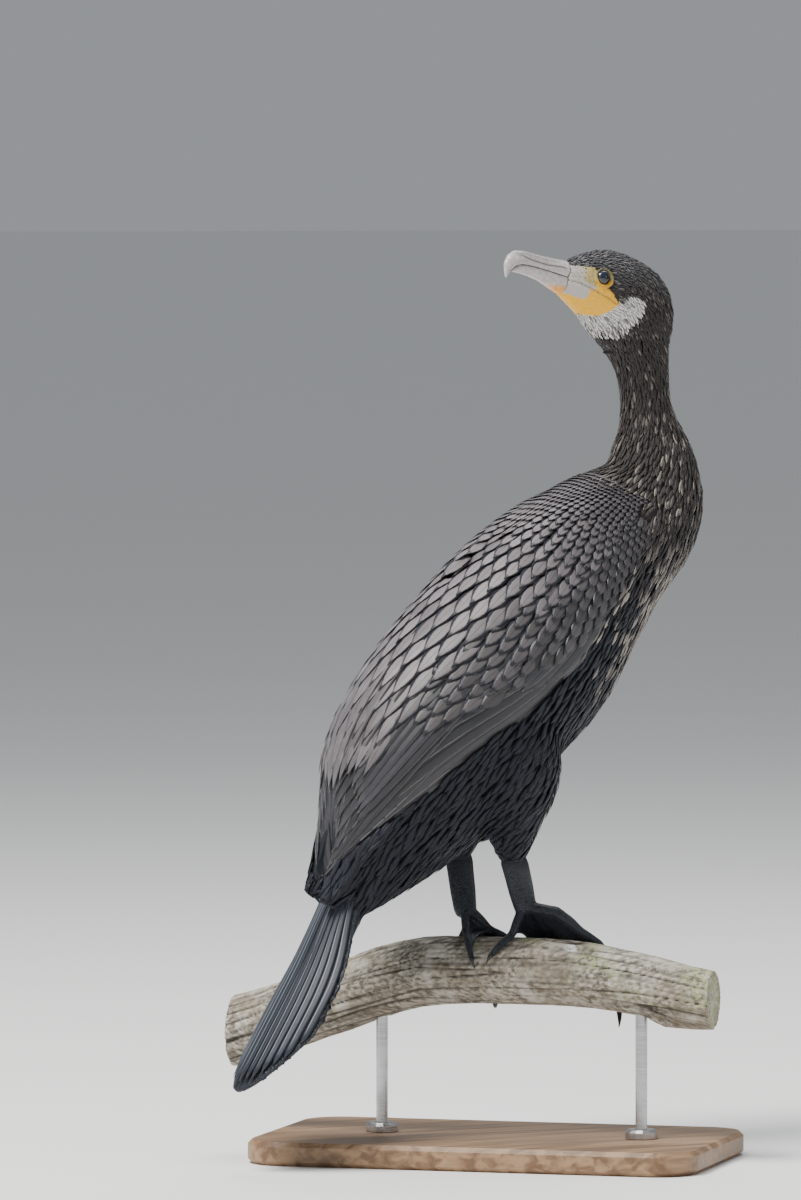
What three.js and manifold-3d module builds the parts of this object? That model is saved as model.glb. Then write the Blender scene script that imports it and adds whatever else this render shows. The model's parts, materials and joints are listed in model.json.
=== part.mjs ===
// A great cormorant at life size, standing on a cut length of branch that a plain display stand holds up.
// Millimetres, +Z up. The bird faces +X, its own left is +Y, and the origin is under the middle of the stand.
import * as THREE from 'three';
import { mergeVertices } from 'three/addons/utils/BufferGeometryUtils.js';
import Module from 'manifold-3d';

const wasm = await Module();
wasm.setup();

// Driving sizes
const GAP = 0.35;
const BASE_LENGTH = 310;
const BASE_WIDTH = 180;
const BASE_THICKNESS = 16;
const BASE_EDGE = 3;
const BASE_CORNER = 26;
const ROD_RADIUS = 4;
const COLLAR_RADIUS = 11;
const COLLAR_HEIGHT = 6;
const PERCH_HEIGHT = 126.5;
const PERCH_YAW = -45;
const PERCH_LEFT = -184;
const PERCH_RIGHT = 150;
const EYE_RADIUS = 5.4;
const EYE_AT = new THREE.Vector3(-3.2, 12.6, -0.8);
const HEAD_AT = new THREE.Vector3(62.6, -10.7, 592.5);
const HEAD_YAW = 192;
const HEAD_PITCH = 16;
const TAIL_LENGTH = 155;
const TAIL_WIDTH = 73;
const TOE_CLEARANCE = 0.7;
const CLAW_ARCH = 1.6;

const SIDES = [
  { name: 'left', sign: 1 },
  { name: 'right', sign: -1 },
];

// Colours and finishes of the real bird and its stand
const FINISHES = {
  belly: { color: 0x17171c, roughness: 0.7, metalness: 0 },
  neck: { color: 0x241f1d, roughness: 0.75, metalness: 0 },
  wing: { color: 0x4c433f, roughness: 0.6, metalness: 0 },
  tail: { color: 0x2a303c, roughness: 0.6, metalness: 0 },
  horn: { color: 0xb9b4ae, roughness: 0.45, metalness: 0 },
  eye: { color: 0x10141c, roughness: 0.05, metalness: 0 },
  leg: { color: 0x1b1e28, roughness: 0.5, metalness: 0 },
  claw: { color: 0x0d0d10, roughness: 0.35, metalness: 0 },
  bark: { color: 0x8a8273, roughness: 0.9, metalness: 0 },
  base: { color: 0x6a4a33, roughness: 0.5, metalness: 0 },
  steel: { color: 0xb4b6b8, roughness: 0.3, metalness: 1 },
};

const model = new THREE.Group();

const radians = THREE.MathUtils.degToRad;
const smoothstep = THREE.MathUtils.smoothstep;

// Adds one named sub-part with its own material.
function addPart(name, geometry, finish, parent = model) {
  const mesh = new THREE.Mesh(geometry, new THREE.MeshStandardMaterial(FINISHES[finish]));
  mesh.name = name;
  parent.add(mesh);
  return mesh;
}

// Value of a smooth curve through evenly numbered values, at a fractional place.
function smooth(values, place) {
  const last = values.length - 1;
  const i = Math.min(Math.floor(THREE.MathUtils.clamp(place, 0, last)), last - 1);
  const f = THREE.MathUtils.clamp(place, 0, last) - i;
  const [a, b, c, d] = [i - 1, i, i + 1, i + 2].map((k) => values[THREE.MathUtils.clamp(k, 0, last)]);
  const slopeIn = (c - a) / 2;
  const slopeOut = (d - b) / 2;
  const lift = 2 * b - 2 * c + slopeIn + slopeOut;
  const bend = -3 * b + 3 * c - 2 * slopeIn - slopeOut;
  return ((lift * f + bend) * f + slopeIn) * f + b;
}

// Interpolates every number of a list of like records at a fractional place.
function smoothRecord(records, place) {
  const keys = Object.keys(records[0]).filter((key) => typeof records[0][key] === 'number');
  return Object.fromEntries(keys.map((key) => [key, smooth(records.map((record) => record[key]), place)]));
}

function signedVolume(points, faces) {
  const cross = new THREE.Vector3();
  return faces.reduce((sum, [a, b, c]) => sum + cross.crossVectors(points[b], points[c]).dot(points[a]), 0);
}

// Faces over the end of a loft: a fan from the middle, or a strip where the loop runs out and back along a shell.
function endFaces(points, first, n, isShell) {
  if (isShell) {
    return Array.from({ length: n / 2 - 1 }, (_, j) => {
      const [a, b, c, d] = [first + j, first + j + 1, first + n - 2 - j, first + n - 1 - j];
      return [[a, b, c], [a, c, d]];
    }).flat();
  }
  const loop = points.slice(first, first + n);
  const middle = loop.reduce((sum, p) => sum.add(p), new THREE.Vector3()).divideScalar(n);
  const centre = points.push(middle) - 1;
  return loop.map((_, j) => [first + j, first + ((j + 1) % n), centre]);
}

// A closed body through a row of loops of equal length.
function loft(loops, isShell = false) {
  const n = loops[0].length;
  const points = loops.flat();
  const faces = [];
  for (let i = 0; i + 1 < loops.length; i += 1) {
    for (let j = 0; j < n; j += 1) {
      const k = (j + 1) % n;
      const [a, b, c, d] = [i * n + j, i * n + k, (i + 1) * n + k, (i + 1) * n + j];
      faces.push([a, b, c], [a, c, d]);
    }
  }
  faces.push(...endFaces(points, 0, n, isShell).map(([a, b, c]) => [b, a, c]));
  faces.push(...endFaces(points, (loops.length - 1) * n, n, isShell));
  const outward = signedVolume(points, faces) > 0;
  const geometry = new THREE.BufferGeometry().setFromPoints(points);
  geometry.setIndex(faces.flatMap(([a, b, c]) => (outward ? [a, b, c] : [a, c, b])));
  return geometry;
}

function toSolid(geometry) {
  const bare = geometry.clone();
  bare.deleteAttribute('normal');
  bare.deleteAttribute('uv');
  const merged = mergeVertices(bare, 1e-4);
  return new wasm.Manifold(new wasm.Mesh({
    numProp: 3,
    vertProperties: new Float32Array(merged.attributes.position.array),
    triVerts: new Uint32Array(merged.index.array),
  }));
}

function toGeometry(solid) {
  const mesh = solid.getMesh();
  const geometry = new THREE.BufferGeometry();
  geometry.setAttribute('position', new THREE.BufferAttribute(mesh.vertProperties, mesh.numProp));
  geometry.setIndex(new THREE.BufferAttribute(mesh.triVerts, 1));
  return geometry;
}

// Joins bodies into one and leaves out any pocket that they close between them.
function join(...geometries) {
  const shells = geometries.map(toSolid).reduce((sum, solid) => sum.add(solid)).decompose();
  return toGeometry(shells.reduce((largest, shell) => (shell.volume() > largest.volume() ? shell : largest)));
}

const cut = (geometry, ...tools) => toGeometry(
  tools.map(toSolid).reduce((rest, tool) => rest.subtract(tool), toSolid(geometry)),
);

// Body and neck: loops across the bird from the wing tips, over the rump and back, up to the chin.
// x and z place the middle, lean is the way to the back in degrees above straight aft,
// back, front and half are the reach to the back, to the belly and to each side, cover the wing's depth there.
const BODY_LOOPS = [
  { x: -133, z: 170, lean: 35, back: 8, front: 9, half: 15, cover: 9 },
  { x: -117, z: 178, lean: 35, back: 14, front: 17.5, half: 24, cover: 11 },
  { x: -95.7, z: 213.4, lean: 35, back: 27, front: 42.5, half: 36, cover: 12 },
  { x: -71.4, z: 248.2, lean: 35, back: 49.5, front: 63, half: 50, cover: 12 },
  { x: -42.9, z: 280.1, lean: 35, back: 59, front: 68, half: 57.5, cover: 12 },
  { x: -14.5, z: 311.9, lean: 35, back: 63, front: 71.5, half: 60.5, cover: 11 },
  { x: 15.1, z: 343, lean: 35, back: 63.5, front: 73.4, half: 61, cover: 10 },
  { x: 41.2, z: 375, lean: 35, back: 61.5, front: 67, half: 59, cover: 7 },
  { x: 70.7, z: 405.7, lean: 34, back: 56, front: 58.5, half: 54, cover: 5 },
  { x: 95.8, z: 424.1, lean: 35, back: 51, front: 53, half: 47, cover: 4 },
  { x: 113.3, z: 441.2, lean: 27, back: 43.5, front: 45.5, half: 38, cover: 2 },
  { x: 122.2, z: 456.3, lean: 16, back: 34, front: 36, half: 31, cover: 0 },
  { x: 121.9, z: 473, lean: 7, back: 29.3, front: 29.3, half: 27, cover: 0 },
  { x: 120.8, z: 484, lean: 2, back: 24.2, front: 24.2, half: 23.5, cover: 0 },
  { x: 118.3, z: 494, lean: 0, back: 20.2, front: 20.2, half: 20, cover: 0 },
  { x: 115.7, z: 505.5, lean: 0, back: 17.8, front: 17.8, half: 17.5, cover: 0 },
  { x: 114.3, z: 518, lean: 0, back: 17.6, front: 17.6, half: 17.2, cover: 0 },
  { x: 112.4, z: 530, lean: 0, back: 18.9, front: 18.9, half: 18.4, cover: 0 },
  { x: 108, z: 541.2, lean: 0, back: 23, front: 23, half: 22.5, cover: 0 },
];
const RUMP = 1;
const NECK_BASE = 11;
const NECK_MIDDLE = 13;
const NECK_UPPER = 15;
const CHIN = BODY_LOOPS.length - 1;

// Point on the body at a fractional loop number and an angle from the back line, towards +Y.
function bodyPoint(place, angle, extra = 0) {
  const loop = smoothRecord(BODY_LOOPS, place);
  const lean = radians(loop.lean);
  const up = Math.cos(angle);
  const along = up * ((up > 0 ? loop.back : loop.front) + extra);
  return new THREE.Vector3(
    loop.x - Math.cos(lean) * along,
    Math.sin(angle) * (loop.half + extra),
    loop.z + Math.sin(lean) * along,
  );
}

function bodyLength(start, end, steps, sides, extra = 0) {
  const loops = [];
  for (let i = 0; i <= steps; i += 1) {
    const place = start + ((end - start) * i) / steps;
    loops.push(Array.from({ length: sides }, (_, j) => bodyPoint(place, (2 * Math.PI * j) / sides, extra)));
  }
  return loft(loops);
}

// Folded wing: a shell over the side of the body. top and low are its edges in degrees from the back line.
// The left wing tip is tucked in a little further up the rump than the right one.
const WING_LOOPS = [
  { place: 0.0, top: 25, low: 36 },
  { place: 0.45, top: 16, low: 48 },
  { place: 1, top: 8, low: 58 },
  { place: 2, top: 2.5, low: 70 },
  { place: 3, top: 1.6, low: 80 },
  { place: 4, top: 1.5, low: 90 },
  { place: 5, top: 1.5, low: 98 },
  { place: 6, top: 2, low: 101 },
  { place: 7, top: 6, low: 102 },
  { place: 8, top: 17, low: 102 },
  { place: 8.8, top: 32, low: 100 },
  { place: 9.3, top: 48, low: 93 },
  { place: 9.55, top: 60, low: 82 },
];
const WING_STEPS = 22;
const WING_ACROSS = 7;
const WING_FLOOR = 1.2;
const FAR_WING_TUCK = 0.6;
const NEAR_WING_TUCK = 0.2;
const WING_RIM = 1.4;

function wing(sign) {
  const tuck = sign > 0 ? FAR_WING_TUCK : NEAR_WING_TUCK;
  const loops = [];
  for (let i = 0; i <= WING_STEPS; i += 1) {
    const section = smoothRecord(WING_LOOPS, ((WING_LOOPS.length - 1) * i) / WING_STEPS);
    const { top, low } = section;
    const place = section.place + tuck * (1 - smoothstep(section.place, 0, 2.5));
    const { cover } = smoothRecord(BODY_LOOPS, place);
    const shoulder = smoothstep(place, 6, 8.5);
    const outer = [];
    const inner = [];
    for (let j = 0; j <= WING_ACROSS; j += 1) {
      const f = j / WING_ACROSS;
      const angle = radians(top + (low - top) * f);
      const nearTop = THREE.MathUtils.lerp(1, smoothstep(f, -0.02, 0.3), shoulder);
      const swell = nearTop * (1 - smoothstep(f, 0.72, 1.04));
      outer.push(bodyPoint(place, sign * angle, WING_FLOOR + WING_RIM + (cover - WING_RIM) * swell));
      inner.unshift(bodyPoint(place, sign * angle, WING_FLOOR));
    }
    loops.push([...outer, ...inner]);
  }
  return loft(loops, true);
}

// A solid along a line of points with an oval section at each: wide is its half size across the reach of side.
function oval(stations, sides) {
  const middle = new THREE.CatmullRomCurve3(stations.map((station) => station.at));
  const loops = stations.map((station, i) => {
    const tangent = middle.getTangent(i / (stations.length - 1));
    const across = station.side.clone().addScaledVector(tangent, -station.side.dot(tangent)).normalize();
    const deep = new THREE.Vector3().crossVectors(tangent, across);
    return Array.from({ length: sides }, (_, j) => {
      const angle = (2 * Math.PI * j) / sides;
      return station.at.clone()
        .addScaledVector(across, Math.cos(angle) * station.wide)
        .addScaledVector(deep, Math.sin(angle) * station.deep);
    });
  });
  return loft(loops);
}

const lateral = new THREE.Vector3(0, 1, 0);

// Perch: a bent, tapering branch with a knot and a torn flake under its thin end.
const PERCH_MIDDLE = [
  { along: -184, drop: 45, radius: 25 },
  { along: -100, drop: 17, radius: 25.5 },
  { along: -50, drop: 2, radius: 24 },
  { along: 0, drop: 0, radius: 23 },
  { along: 55, drop: 1, radius: 22.5 },
  { along: 100, drop: 7, radius: 21.5 },
  { along: 150, drop: 16.5, radius: 20 },
];
const PERCH_BUMPS = [
  { along: 27, turn: -38, height: 6.5, length: 9, spread: 20 },
  { along: 122, turn: 172, height: 7, length: 12, spread: 18 },
  { along: -130, turn: 100, height: 3, length: 22, spread: 35 },
];
const perchAxis = new THREE.Vector3(Math.cos(radians(PERCH_YAW)), Math.sin(radians(PERCH_YAW)), 0);
const perchAcross = new THREE.Vector3(-perchAxis.y, perchAxis.x, 0);

function perchStation(along) {
  const last = PERCH_MIDDLE.length - 1;
  let i = 0;
  while (i < last - 1 && PERCH_MIDDLE[i + 1].along < along) i += 1;
  const span = PERCH_MIDDLE[i + 1].along - PERCH_MIDDLE[i].along;
  return smoothRecord(PERCH_MIDDLE, i + (along - PERCH_MIDDLE[i].along) / span);
}

// Point above the perch's round surface: turn is the angle from its top towards the far side.
function onPerch(along, turn, lift, bumpy = false) {
  const { drop, radius } = perchStation(along);
  let reach = radius + lift;
  if (bumpy) {
    for (const bump of PERCH_BUMPS) {
      const far = Math.abs(((THREE.MathUtils.radToDeg(turn) - bump.turn + 540) % 360) - 180) / bump.spread;
      const away = (along - bump.along) / bump.length;
      reach += bump.height * Math.exp(-(far ** 2) - away ** 2);
    }
  }
  return new THREE.Vector3(0, 0, PERCH_HEIGHT - drop + reach * Math.cos(turn))
    .addScaledVector(perchAxis, along)
    .addScaledVector(perchAcross, reach * Math.sin(turn));
}

const PERCH_STEPS = 20;
const PERCH_SIDES = 18;

function perch() {
  const loops = [];
  for (let i = 0; i <= PERCH_STEPS; i += 1) {
    const along = PERCH_LEFT + ((PERCH_RIGHT - PERCH_LEFT) * i) / PERCH_STEPS;
    loops.push(Array.from({ length: PERCH_SIDES }, (_, j) => onPerch(along, (2 * Math.PI * j) / PERCH_SIDES, 0, true)));
  }
  return loft(loops);
}

// Feet: each toe leaves the ball of the foot, comes down on the perch and lies round it.
// run is how far the toe goes along the perch and wrap how far round it, in degrees.
// A bend over 1 takes the toe along the perch first and round it last, under 1 the other way.
const FEET = {
  left: {
    along: -22,
    ball: 11.5,
    toes: [
      { name: 'hind', run: 11, wrap: -68, bend: 1, radius: 3.1, claw: 8 },
      { name: 'inner', run: 30, wrap: 62, bend: 1.5, radius: 3.3, claw: 9 },
      { name: 'middle', run: 17, wrap: 148, bend: 1, radius: 3.6, claw: 13 },
      { name: 'outer', run: -50, wrap: 119, bend: 0.68, radius: 3.6, claw: 12, drop: 8 },
    ],
  },
  right: {
    along: 19.5,
    ball: 15.5,
    toes: [
      { name: 'hind', run: -17, wrap: -62, bend: 1, radius: 3.1, claw: 8 },
      { name: 'inner', run: 1, wrap: 96, bend: 1, radius: 3.3, claw: 9 },
      { name: 'middle', run: 32, wrap: 126, bend: 1.2, radius: 3.6, claw: 12 },
      { name: 'outer', run: 61, wrap: 143, bend: 2.1, radius: 3.9, claw: 12, drop: 8 },
    ],
  },
};
const TOE_STEPS = 9;
const TOE_SIDES = 6;
const WEB_STEPS = 6;
const WEB_FOLD = 20;
const WEB_HOLLOW = 55;
const WEB_HALF = 0.8;
const WEB_RISE = 2.1;
const WEB_START = 0.03;
const WEB_END = 0.93;
const WEB_SCALLOP = 0.3;

function toeLift(foot, f) {
  return foot.ball * (1 - smoothstep(f, 0, 0.42));
}

function toePoint(foot, toe, f, lift) {
  return onPerch(foot.along + toe.run * f ** (1 / toe.bend), radians(toe.wrap) * f ** toe.bend, lift);
}

function toeRadius(toe, f) {
  return toe.radius * (1.12 - 0.42 * f);
}

function toe(foot, spec, extra) {
  const stations = [];
  for (let i = 0; i <= TOE_STEPS; i += 1) {
    const f = i / TOE_STEPS;
    const radius = toeRadius(spec, f);
    const at = toePoint(foot, spec, f, toeLift(foot, f) + radius + TOE_CLEARANCE);
    const side = toePoint(foot, spec, f, 1).sub(toePoint(foot, spec, f, 0));
    stations.push({ at, side, wide: radius + extra, deep: radius * 1.08 + extra });
  }
  return oval(stations, TOE_SIDES);
}

function web(foot, first, second, extra) {
  const across = Math.ceil((Math.abs(second.wrap - first.wrap) + WEB_HOLLOW) / WEB_FOLD);
  const loops = [];
  for (let i = 0; i <= WEB_STEPS; i += 1) {
    const upper = [];
    const lower = [];
    for (let j = 0; j <= across; j += 1) {
      const w = j / across;
      const reach = WEB_END - WEB_SCALLOP * Math.sin(Math.PI * w);
      const f = THREE.MathUtils.lerp(WEB_START, reach, i / WEB_STEPS);
      const blended = {
        run: THREE.MathUtils.lerp(first.run, second.run, w),
        wrap: THREE.MathUtils.lerp(first.wrap, second.wrap, w),
        bend: THREE.MathUtils.lerp(first.bend, second.bend, w),
      };
      const middle = toeLift(foot, f) + TOE_CLEARANCE + WEB_RISE;
      upper.push(toePoint(foot, blended, f, middle + WEB_HALF + extra));
      lower.unshift(toePoint(foot, blended, f, middle - WEB_HALF - extra));
    }
    loops.push([...upper, ...lower]);
  }
  return loft(loops, true);
}

// The claw carries on from the toe's end. Most bend in till the tip touches the perch,
// and the two with a drop hang off its underside instead.
const CLAW_STEPS = 4;
const CLAW_SIDES = 6;
const CLAW_TIP = 0.9;
function claw(foot, spec) {
  const stations = [];
  const radius = toeRadius(spec, 1);
  const side = toePoint(foot, spec, 1, 1).sub(toePoint(foot, spec, 1, 0));
  const pace = toePoint(foot, spec, 1.05, radius).distanceTo(toePoint(foot, spec, 1, radius)) / 0.05;
  const bend = spec.drop ?? CLAW_TIP - radius;
  for (let i = 0; i <= CLAW_STEPS; i += 1) {
    const f = i / CLAW_STEPS;
    const ahead = 1 + (spec.claw * (f - 0.1)) / pace;
    const lift = radius + TOE_CLEARANCE + CLAW_ARCH * Math.sin(Math.PI * f ** 0.7) + bend * f;
    const thick = Math.max(CLAW_TIP / 2, radius * 0.95 * (1 - f) ** 0.8);
    stations.push({ at: toePoint(foot, spec, ahead, lift), side, wide: thick, deep: thick });
  }
  return cut(oval(stations, CLAW_SIDES), toe(foot, spec, GAP));
}

// Legs: where each thigh leaves the body, where its feathers end at the heel, and the foot it stands on.
const LEGS = {
  left: { hip: new THREE.Vector3(-6, 38, 290), heel: new THREE.Vector3(-16, 25, 208) },
  right: { hip: new THREE.Vector3(-6, -38, 290), heel: new THREE.Vector3(-3.5, -26, 209) },
};
const THIGH_LENGTH = 82;
const THIGH = [
  { f: -0.1, wide: 20, deep: 26 },
  { f: 0.2, wide: 25, deep: 33 },
  { f: 0.42, wide: 25, deep: 33 },
  { f: 0.6, wide: 22, deep: 28.5 },
  { f: 0.765, wide: 17, deep: 21.5 },
  { f: 0.94, wide: 12.5, deep: 15.5 },
  { f: 1.03, wide: 9.5, deep: 11.5 },
  { f: 1.09, wide: 6, deep: 8 },
];

function thigh(leg, extra = 0) {
  const stations = THIGH.map(({ f, wide, deep }) => ({
    at: leg.hip.clone().lerp(leg.heel, f + (extra / THIGH_LENGTH) * Math.sign(f - 0.5)),
    side: lateral,
    wide: wide + extra,
    deep: deep + extra,
  }));
  return oval(stations, 16);
}

const SHANK = [
  { f: -0.1, wide: 4.8, deep: 9 },
  { f: 0.12, wide: 5, deep: 11 },
  { f: 0.4, wide: 4.6, deep: 10.4 },
  { f: 0.7, wide: 4.8, deep: 10 },
  { f: 1.0, wide: 6.2, deep: 8.6 },
];

const BALL_RADIUS = 7;
const BALL_RISE = 5.5;
const BALL_SINK = 1.5;

function footBall(foot) {
  return onPerch(foot.along, 0, foot.ball + BALL_RISE);
}

function shank(leg, foot) {
  const stations = SHANK.map(({ f, wide, deep }) => ({
    at: leg.heel.clone().lerp(footBall(foot), f),
    side: lateral,
    wide,
    deep,
  }));
  return oval(stations, 12);
}

function wholeFoot(foot, extra = 0) {
  const middle = footBall(foot);
  const ball = new THREE.SphereGeometry(BALL_RADIUS + extra, 10, 6);
  ball.scale(1.1, 1, 0.72);
  ball.translate(middle.x, middle.y, middle.z - BALL_SINK);
  const toes = foot.toes.map((spec) => toe(foot, spec, extra));
  const webs = foot.toes.slice(1).map((spec, i) => web(foot, foot.toes[i], spec, extra));
  return join(ball, ...toes, ...webs);
}

// Head: loops from the bill's root over the crown and round to the nape, in the head's own frame.
// Its origin is between the eyes, +X along the mouth and +Z over the crown.
const HEAD_LOOPS = [
  { lowX: 21, lowZ: -19, highX: 21, highZ: 4.2, half: 8.6 },
  { lowX: 13, lowZ: -22, highX: 12, highZ: 10.2, half: 11.8 },
  { lowX: 4, lowZ: -25.2, highX: 1, highZ: 16.4, half: 15 },
  { lowX: -4, lowZ: -28.6, highX: -12, highZ: 21.6, half: 17.6 },
  { lowX: -11, lowZ: -33, highX: -28, highZ: 23, half: 19.4 },
  { lowX: -17, lowZ: -37, highX: -48, highZ: 21.4, half: 20.6 },
  { lowX: -22.5, lowZ: -39.5, highX: -66, highZ: 15.2, half: 21 },
  { lowX: -27.5, lowZ: -41.3, highX: -77, highZ: 1.6, half: 21.2 },
  { lowX: -31.5, lowZ: -42.2, highX: -80, highZ: -15, half: 21.8 },
];
const HEAD_SIDES = 20;
const HEAD_STEPS = 10;

const headFrame = new THREE.Group();
headFrame.position.copy(HEAD_AT);
headFrame.rotation.set(0, -radians(HEAD_PITCH), radians(HEAD_YAW), 'ZYX');
headFrame.updateMatrixWorld(true);
model.add(headFrame);

function headLoop(loop) {
  const middle = new THREE.Vector3((loop.lowX + loop.highX) / 2, 0, (loop.lowZ + loop.highZ) / 2);
  const rise = new THREE.Vector3((loop.highX - loop.lowX) / 2, 0, (loop.highZ - loop.lowZ) / 2);
  return Array.from({ length: HEAD_SIDES }, (_, j) => {
    const angle = (2 * Math.PI * j) / HEAD_SIDES;
    return middle.clone()
      .addScaledVector(rise, Math.cos(angle))
      .addScaledVector(lateral, Math.sin(angle) * loop.half);
  });
}

// The last loop is the top of the neck, brought into the head's frame and turned to face as the head does.
function chinLoop() {
  const turn = radians(HEAD_YAW);
  return Array.from({ length: HEAD_SIDES }, (_, j) => {
    const angle = (2 * Math.PI * j) / HEAD_SIDES;
    const point = bodyPoint(CHIN, angle + turn);
    point.z += GAP;
    return headFrame.worldToLocal(point);
  });
}

function skull() {
  const loops = [];
  for (let i = 0; i <= HEAD_STEPS; i += 1) {
    loops.push(headLoop(smoothRecord(HEAD_LOOPS, ((HEAD_LOOPS.length - 1) * i) / HEAD_STEPS)));
  }
  loops.push(chinLoop());
  return loft(loops);
}

function eyeball(sign, extra = 0) {
  return new THREE.SphereGeometry(EYE_RADIUS + extra, 14, 8).translate(EYE_AT.x, sign * EYE_AT.y, EYE_AT.z);
}

// Bill: loops given by their top and bottom in the head's frame; the upper half ends in the hook.
const UPPER_BILL = [
  { lowX: 21.4, lowZ: -7.2, highX: 21.4, highZ: 4.2, half: 8.3 },
  { lowX: 30, lowZ: -7.3, highX: 30, highZ: 3, half: 7.2 },
  { lowX: 40, lowZ: -7.5, highX: 40, highZ: 1.8, half: 6.1 },
  { lowX: 50, lowZ: -7.9, highX: 50.5, highZ: 0.9, half: 5.3 },
  { lowX: 58, lowZ: -8.8, highX: 60, highZ: 0.1, half: 5 },
  { lowX: 63, lowZ: -10.2, highX: 67, highZ: -1.7, half: 4.7 },
  { lowX: 65.8, lowZ: -12.2, highX: 71.6, highZ: -6, half: 3.8 },
  { lowX: 67.4, lowZ: -15, highX: 73.1, highZ: -12, half: 2.6 },
  { lowX: 68.4, lowZ: -18.4, highX: 71.8, highZ: -17.6, half: 1.5 },
  { lowX: 68.9, lowZ: -21, highX: 69.9, highZ: -21, half: 0.7 },
];
const LOWER_BILL = [
  { lowX: 21.4, lowZ: -19, highX: 21.4, highZ: -7.6, half: 8.1 },
  { lowX: 30, lowZ: -17.4, highX: 30, highZ: -7.7, half: 6.9 },
  { lowX: 40, lowZ: -15.4, highX: 40, highZ: -7.9, half: 5.7 },
  { lowX: 50, lowZ: -14.9, highX: 50, highZ: -8.3, half: 4.7 },
  { lowX: 58, lowZ: -15.1, highX: 57.7, highZ: -9.2, half: 4.2 },
  { lowX: 64, lowZ: -15.8, highX: 62.6, highZ: -10.8, half: 3.4 },
  { lowX: 66.7, lowZ: -16.4, highX: 65.2, highZ: -13.2, half: 1.8 },
];
const BILL_SIDES = 14;

// A bill's section is rounded on one side of the mouth and nearly flat on the other.
function billLoop(loop, roundUp) {
  const rise = new THREE.Vector3(loop.highX - loop.lowX, 0, loop.highZ - loop.lowZ);
  const flat = new THREE.Vector3(roundUp ? loop.lowX : loop.highX, 0, roundUp ? loop.lowZ : loop.highZ);
  const dome = BILL_SIDES - 4;
  const points = [];
  for (let j = 0; j <= dome; j += 1) {
    const angle = Math.PI * (0.04 + (0.92 * j) / dome);
    const height = 0.12 + 0.88 * Math.sin(angle) ** 0.8;
    points.push(flat.clone()
      .addScaledVector(rise, roundUp ? height : -height)
      .addScaledVector(lateral, Math.cos(angle) * loop.half));
  }
  for (const across of [-0.85, 0, 0.85]) {
    points.push(flat.clone().addScaledVector(lateral, across * loop.half));
  }
  return points;
}

function bill(records, roundUp) {
  return loft(records.map((record) => billLoop(record, roundUp)));
}

// Tail: a narrow fan, arched across, with each side feather a little shorter than the next one in.
// The coverts under its root make a wedge that runs out before half way.
const TAIL_ROOT = new THREE.Vector3(-119, 0, 187);
const TAIL_WAY = new THREE.Vector3(-0.512, 0, -0.859);
const TAIL_STEPS = 7;
const TAIL_ACROSS = 10;
const TAIL_ARCH = 14;
const TAIL_ROOT_HALF = 21;
const TAIL_SIDE_SHORT = 0.34;
const UNDERTAIL_DEPTH = 15;

function tail() {
  const up = new THREE.Vector3().crossVectors(lateral, TAIL_WAY).normalize();
  if (up.z < 0) up.negate();
  const loops = [];
  for (let i = 0; i <= TAIL_STEPS; i += 1) {
    const f = i / TAIL_STEPS;
    const half = THREE.MathUtils.lerp(TAIL_ROOT_HALF, TAIL_WIDTH / 2, smoothstep(f, 0, 0.7));
    const thick = THREE.MathUtils.lerp(9, 3, smoothstep(f, 0, 0.45));
    const under = UNDERTAIL_DEPTH * (1 - smoothstep(f, 0, 0.6));
    const upper = [];
    const lower = [];
    for (let j = 0; j <= TAIL_ACROSS; j += 1) {
      const w = (2 * j) / TAIL_ACROSS - 1;
      const reach = f * TAIL_LENGTH * (1 - TAIL_SIDE_SHORT * Math.abs(w) ** 2);
      const at = TAIL_ROOT.clone()
        .addScaledVector(TAIL_WAY, reach)
        .addScaledVector(lateral, w * half)
        .addScaledVector(up, -TAIL_ARCH * w * w * smoothstep(f, -0.3, 0.6));
      const rim = thick * (0.45 + 0.55 * Math.sqrt(1 - Math.abs(w) ** 3));
      upper.push(at.clone().addScaledVector(up, rim / 2));
      lower.unshift(at.clone().addScaledVector(up, -rim / 2 - under * (1 - w ** 4)));
    }
    loops.push([...upper, ...lower]);
  }
  return loft(loops, true);
}

// Stand: a flat base with eased edges and two rods that run up into the perch.
function standBase() {
  const corner = BASE_CORNER;
  const x = BASE_LENGTH / 2 - BASE_EDGE;
  const y = BASE_WIDTH / 2 - BASE_EDGE;
  const outline = new THREE.Shape();
  outline.moveTo(-x + corner, -y);
  outline.lineTo(x - corner, -y);
  outline.absarc(x - corner, -y + corner, corner, -Math.PI / 2, 0);
  outline.lineTo(x, y - corner);
  outline.absarc(x - corner, y - corner, corner, 0, Math.PI / 2);
  outline.lineTo(-x + corner, y);
  outline.absarc(-x + corner, y - corner, corner, Math.PI / 2, Math.PI);
  outline.lineTo(-x, -y + corner);
  outline.absarc(-x + corner, -y + corner, corner, Math.PI, 1.5 * Math.PI);
  const geometry = new THREE.ExtrudeGeometry(outline, {
    depth: BASE_THICKNESS - 2 * BASE_EDGE,
    bevelThickness: BASE_EDGE,
    bevelSize: BASE_EDGE,
    bevelSegments: 1,
    curveSegments: 5,
  });
  return geometry.translate(0, 0, BASE_EDGE);
}

const RODS = [
  { name: 'stand_rod_left', along: -80 },
  { name: 'stand_rod_right', along: 100 },
];
const ROD_DEPTH = 14;
const ROD_SIDES = 14;
const COLLAR_EDGE = 2;

function rodFoot(along) {
  return new THREE.Vector3().addScaledVector(perchAxis, along).setZ(BASE_THICKNESS + GAP);
}

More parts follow.
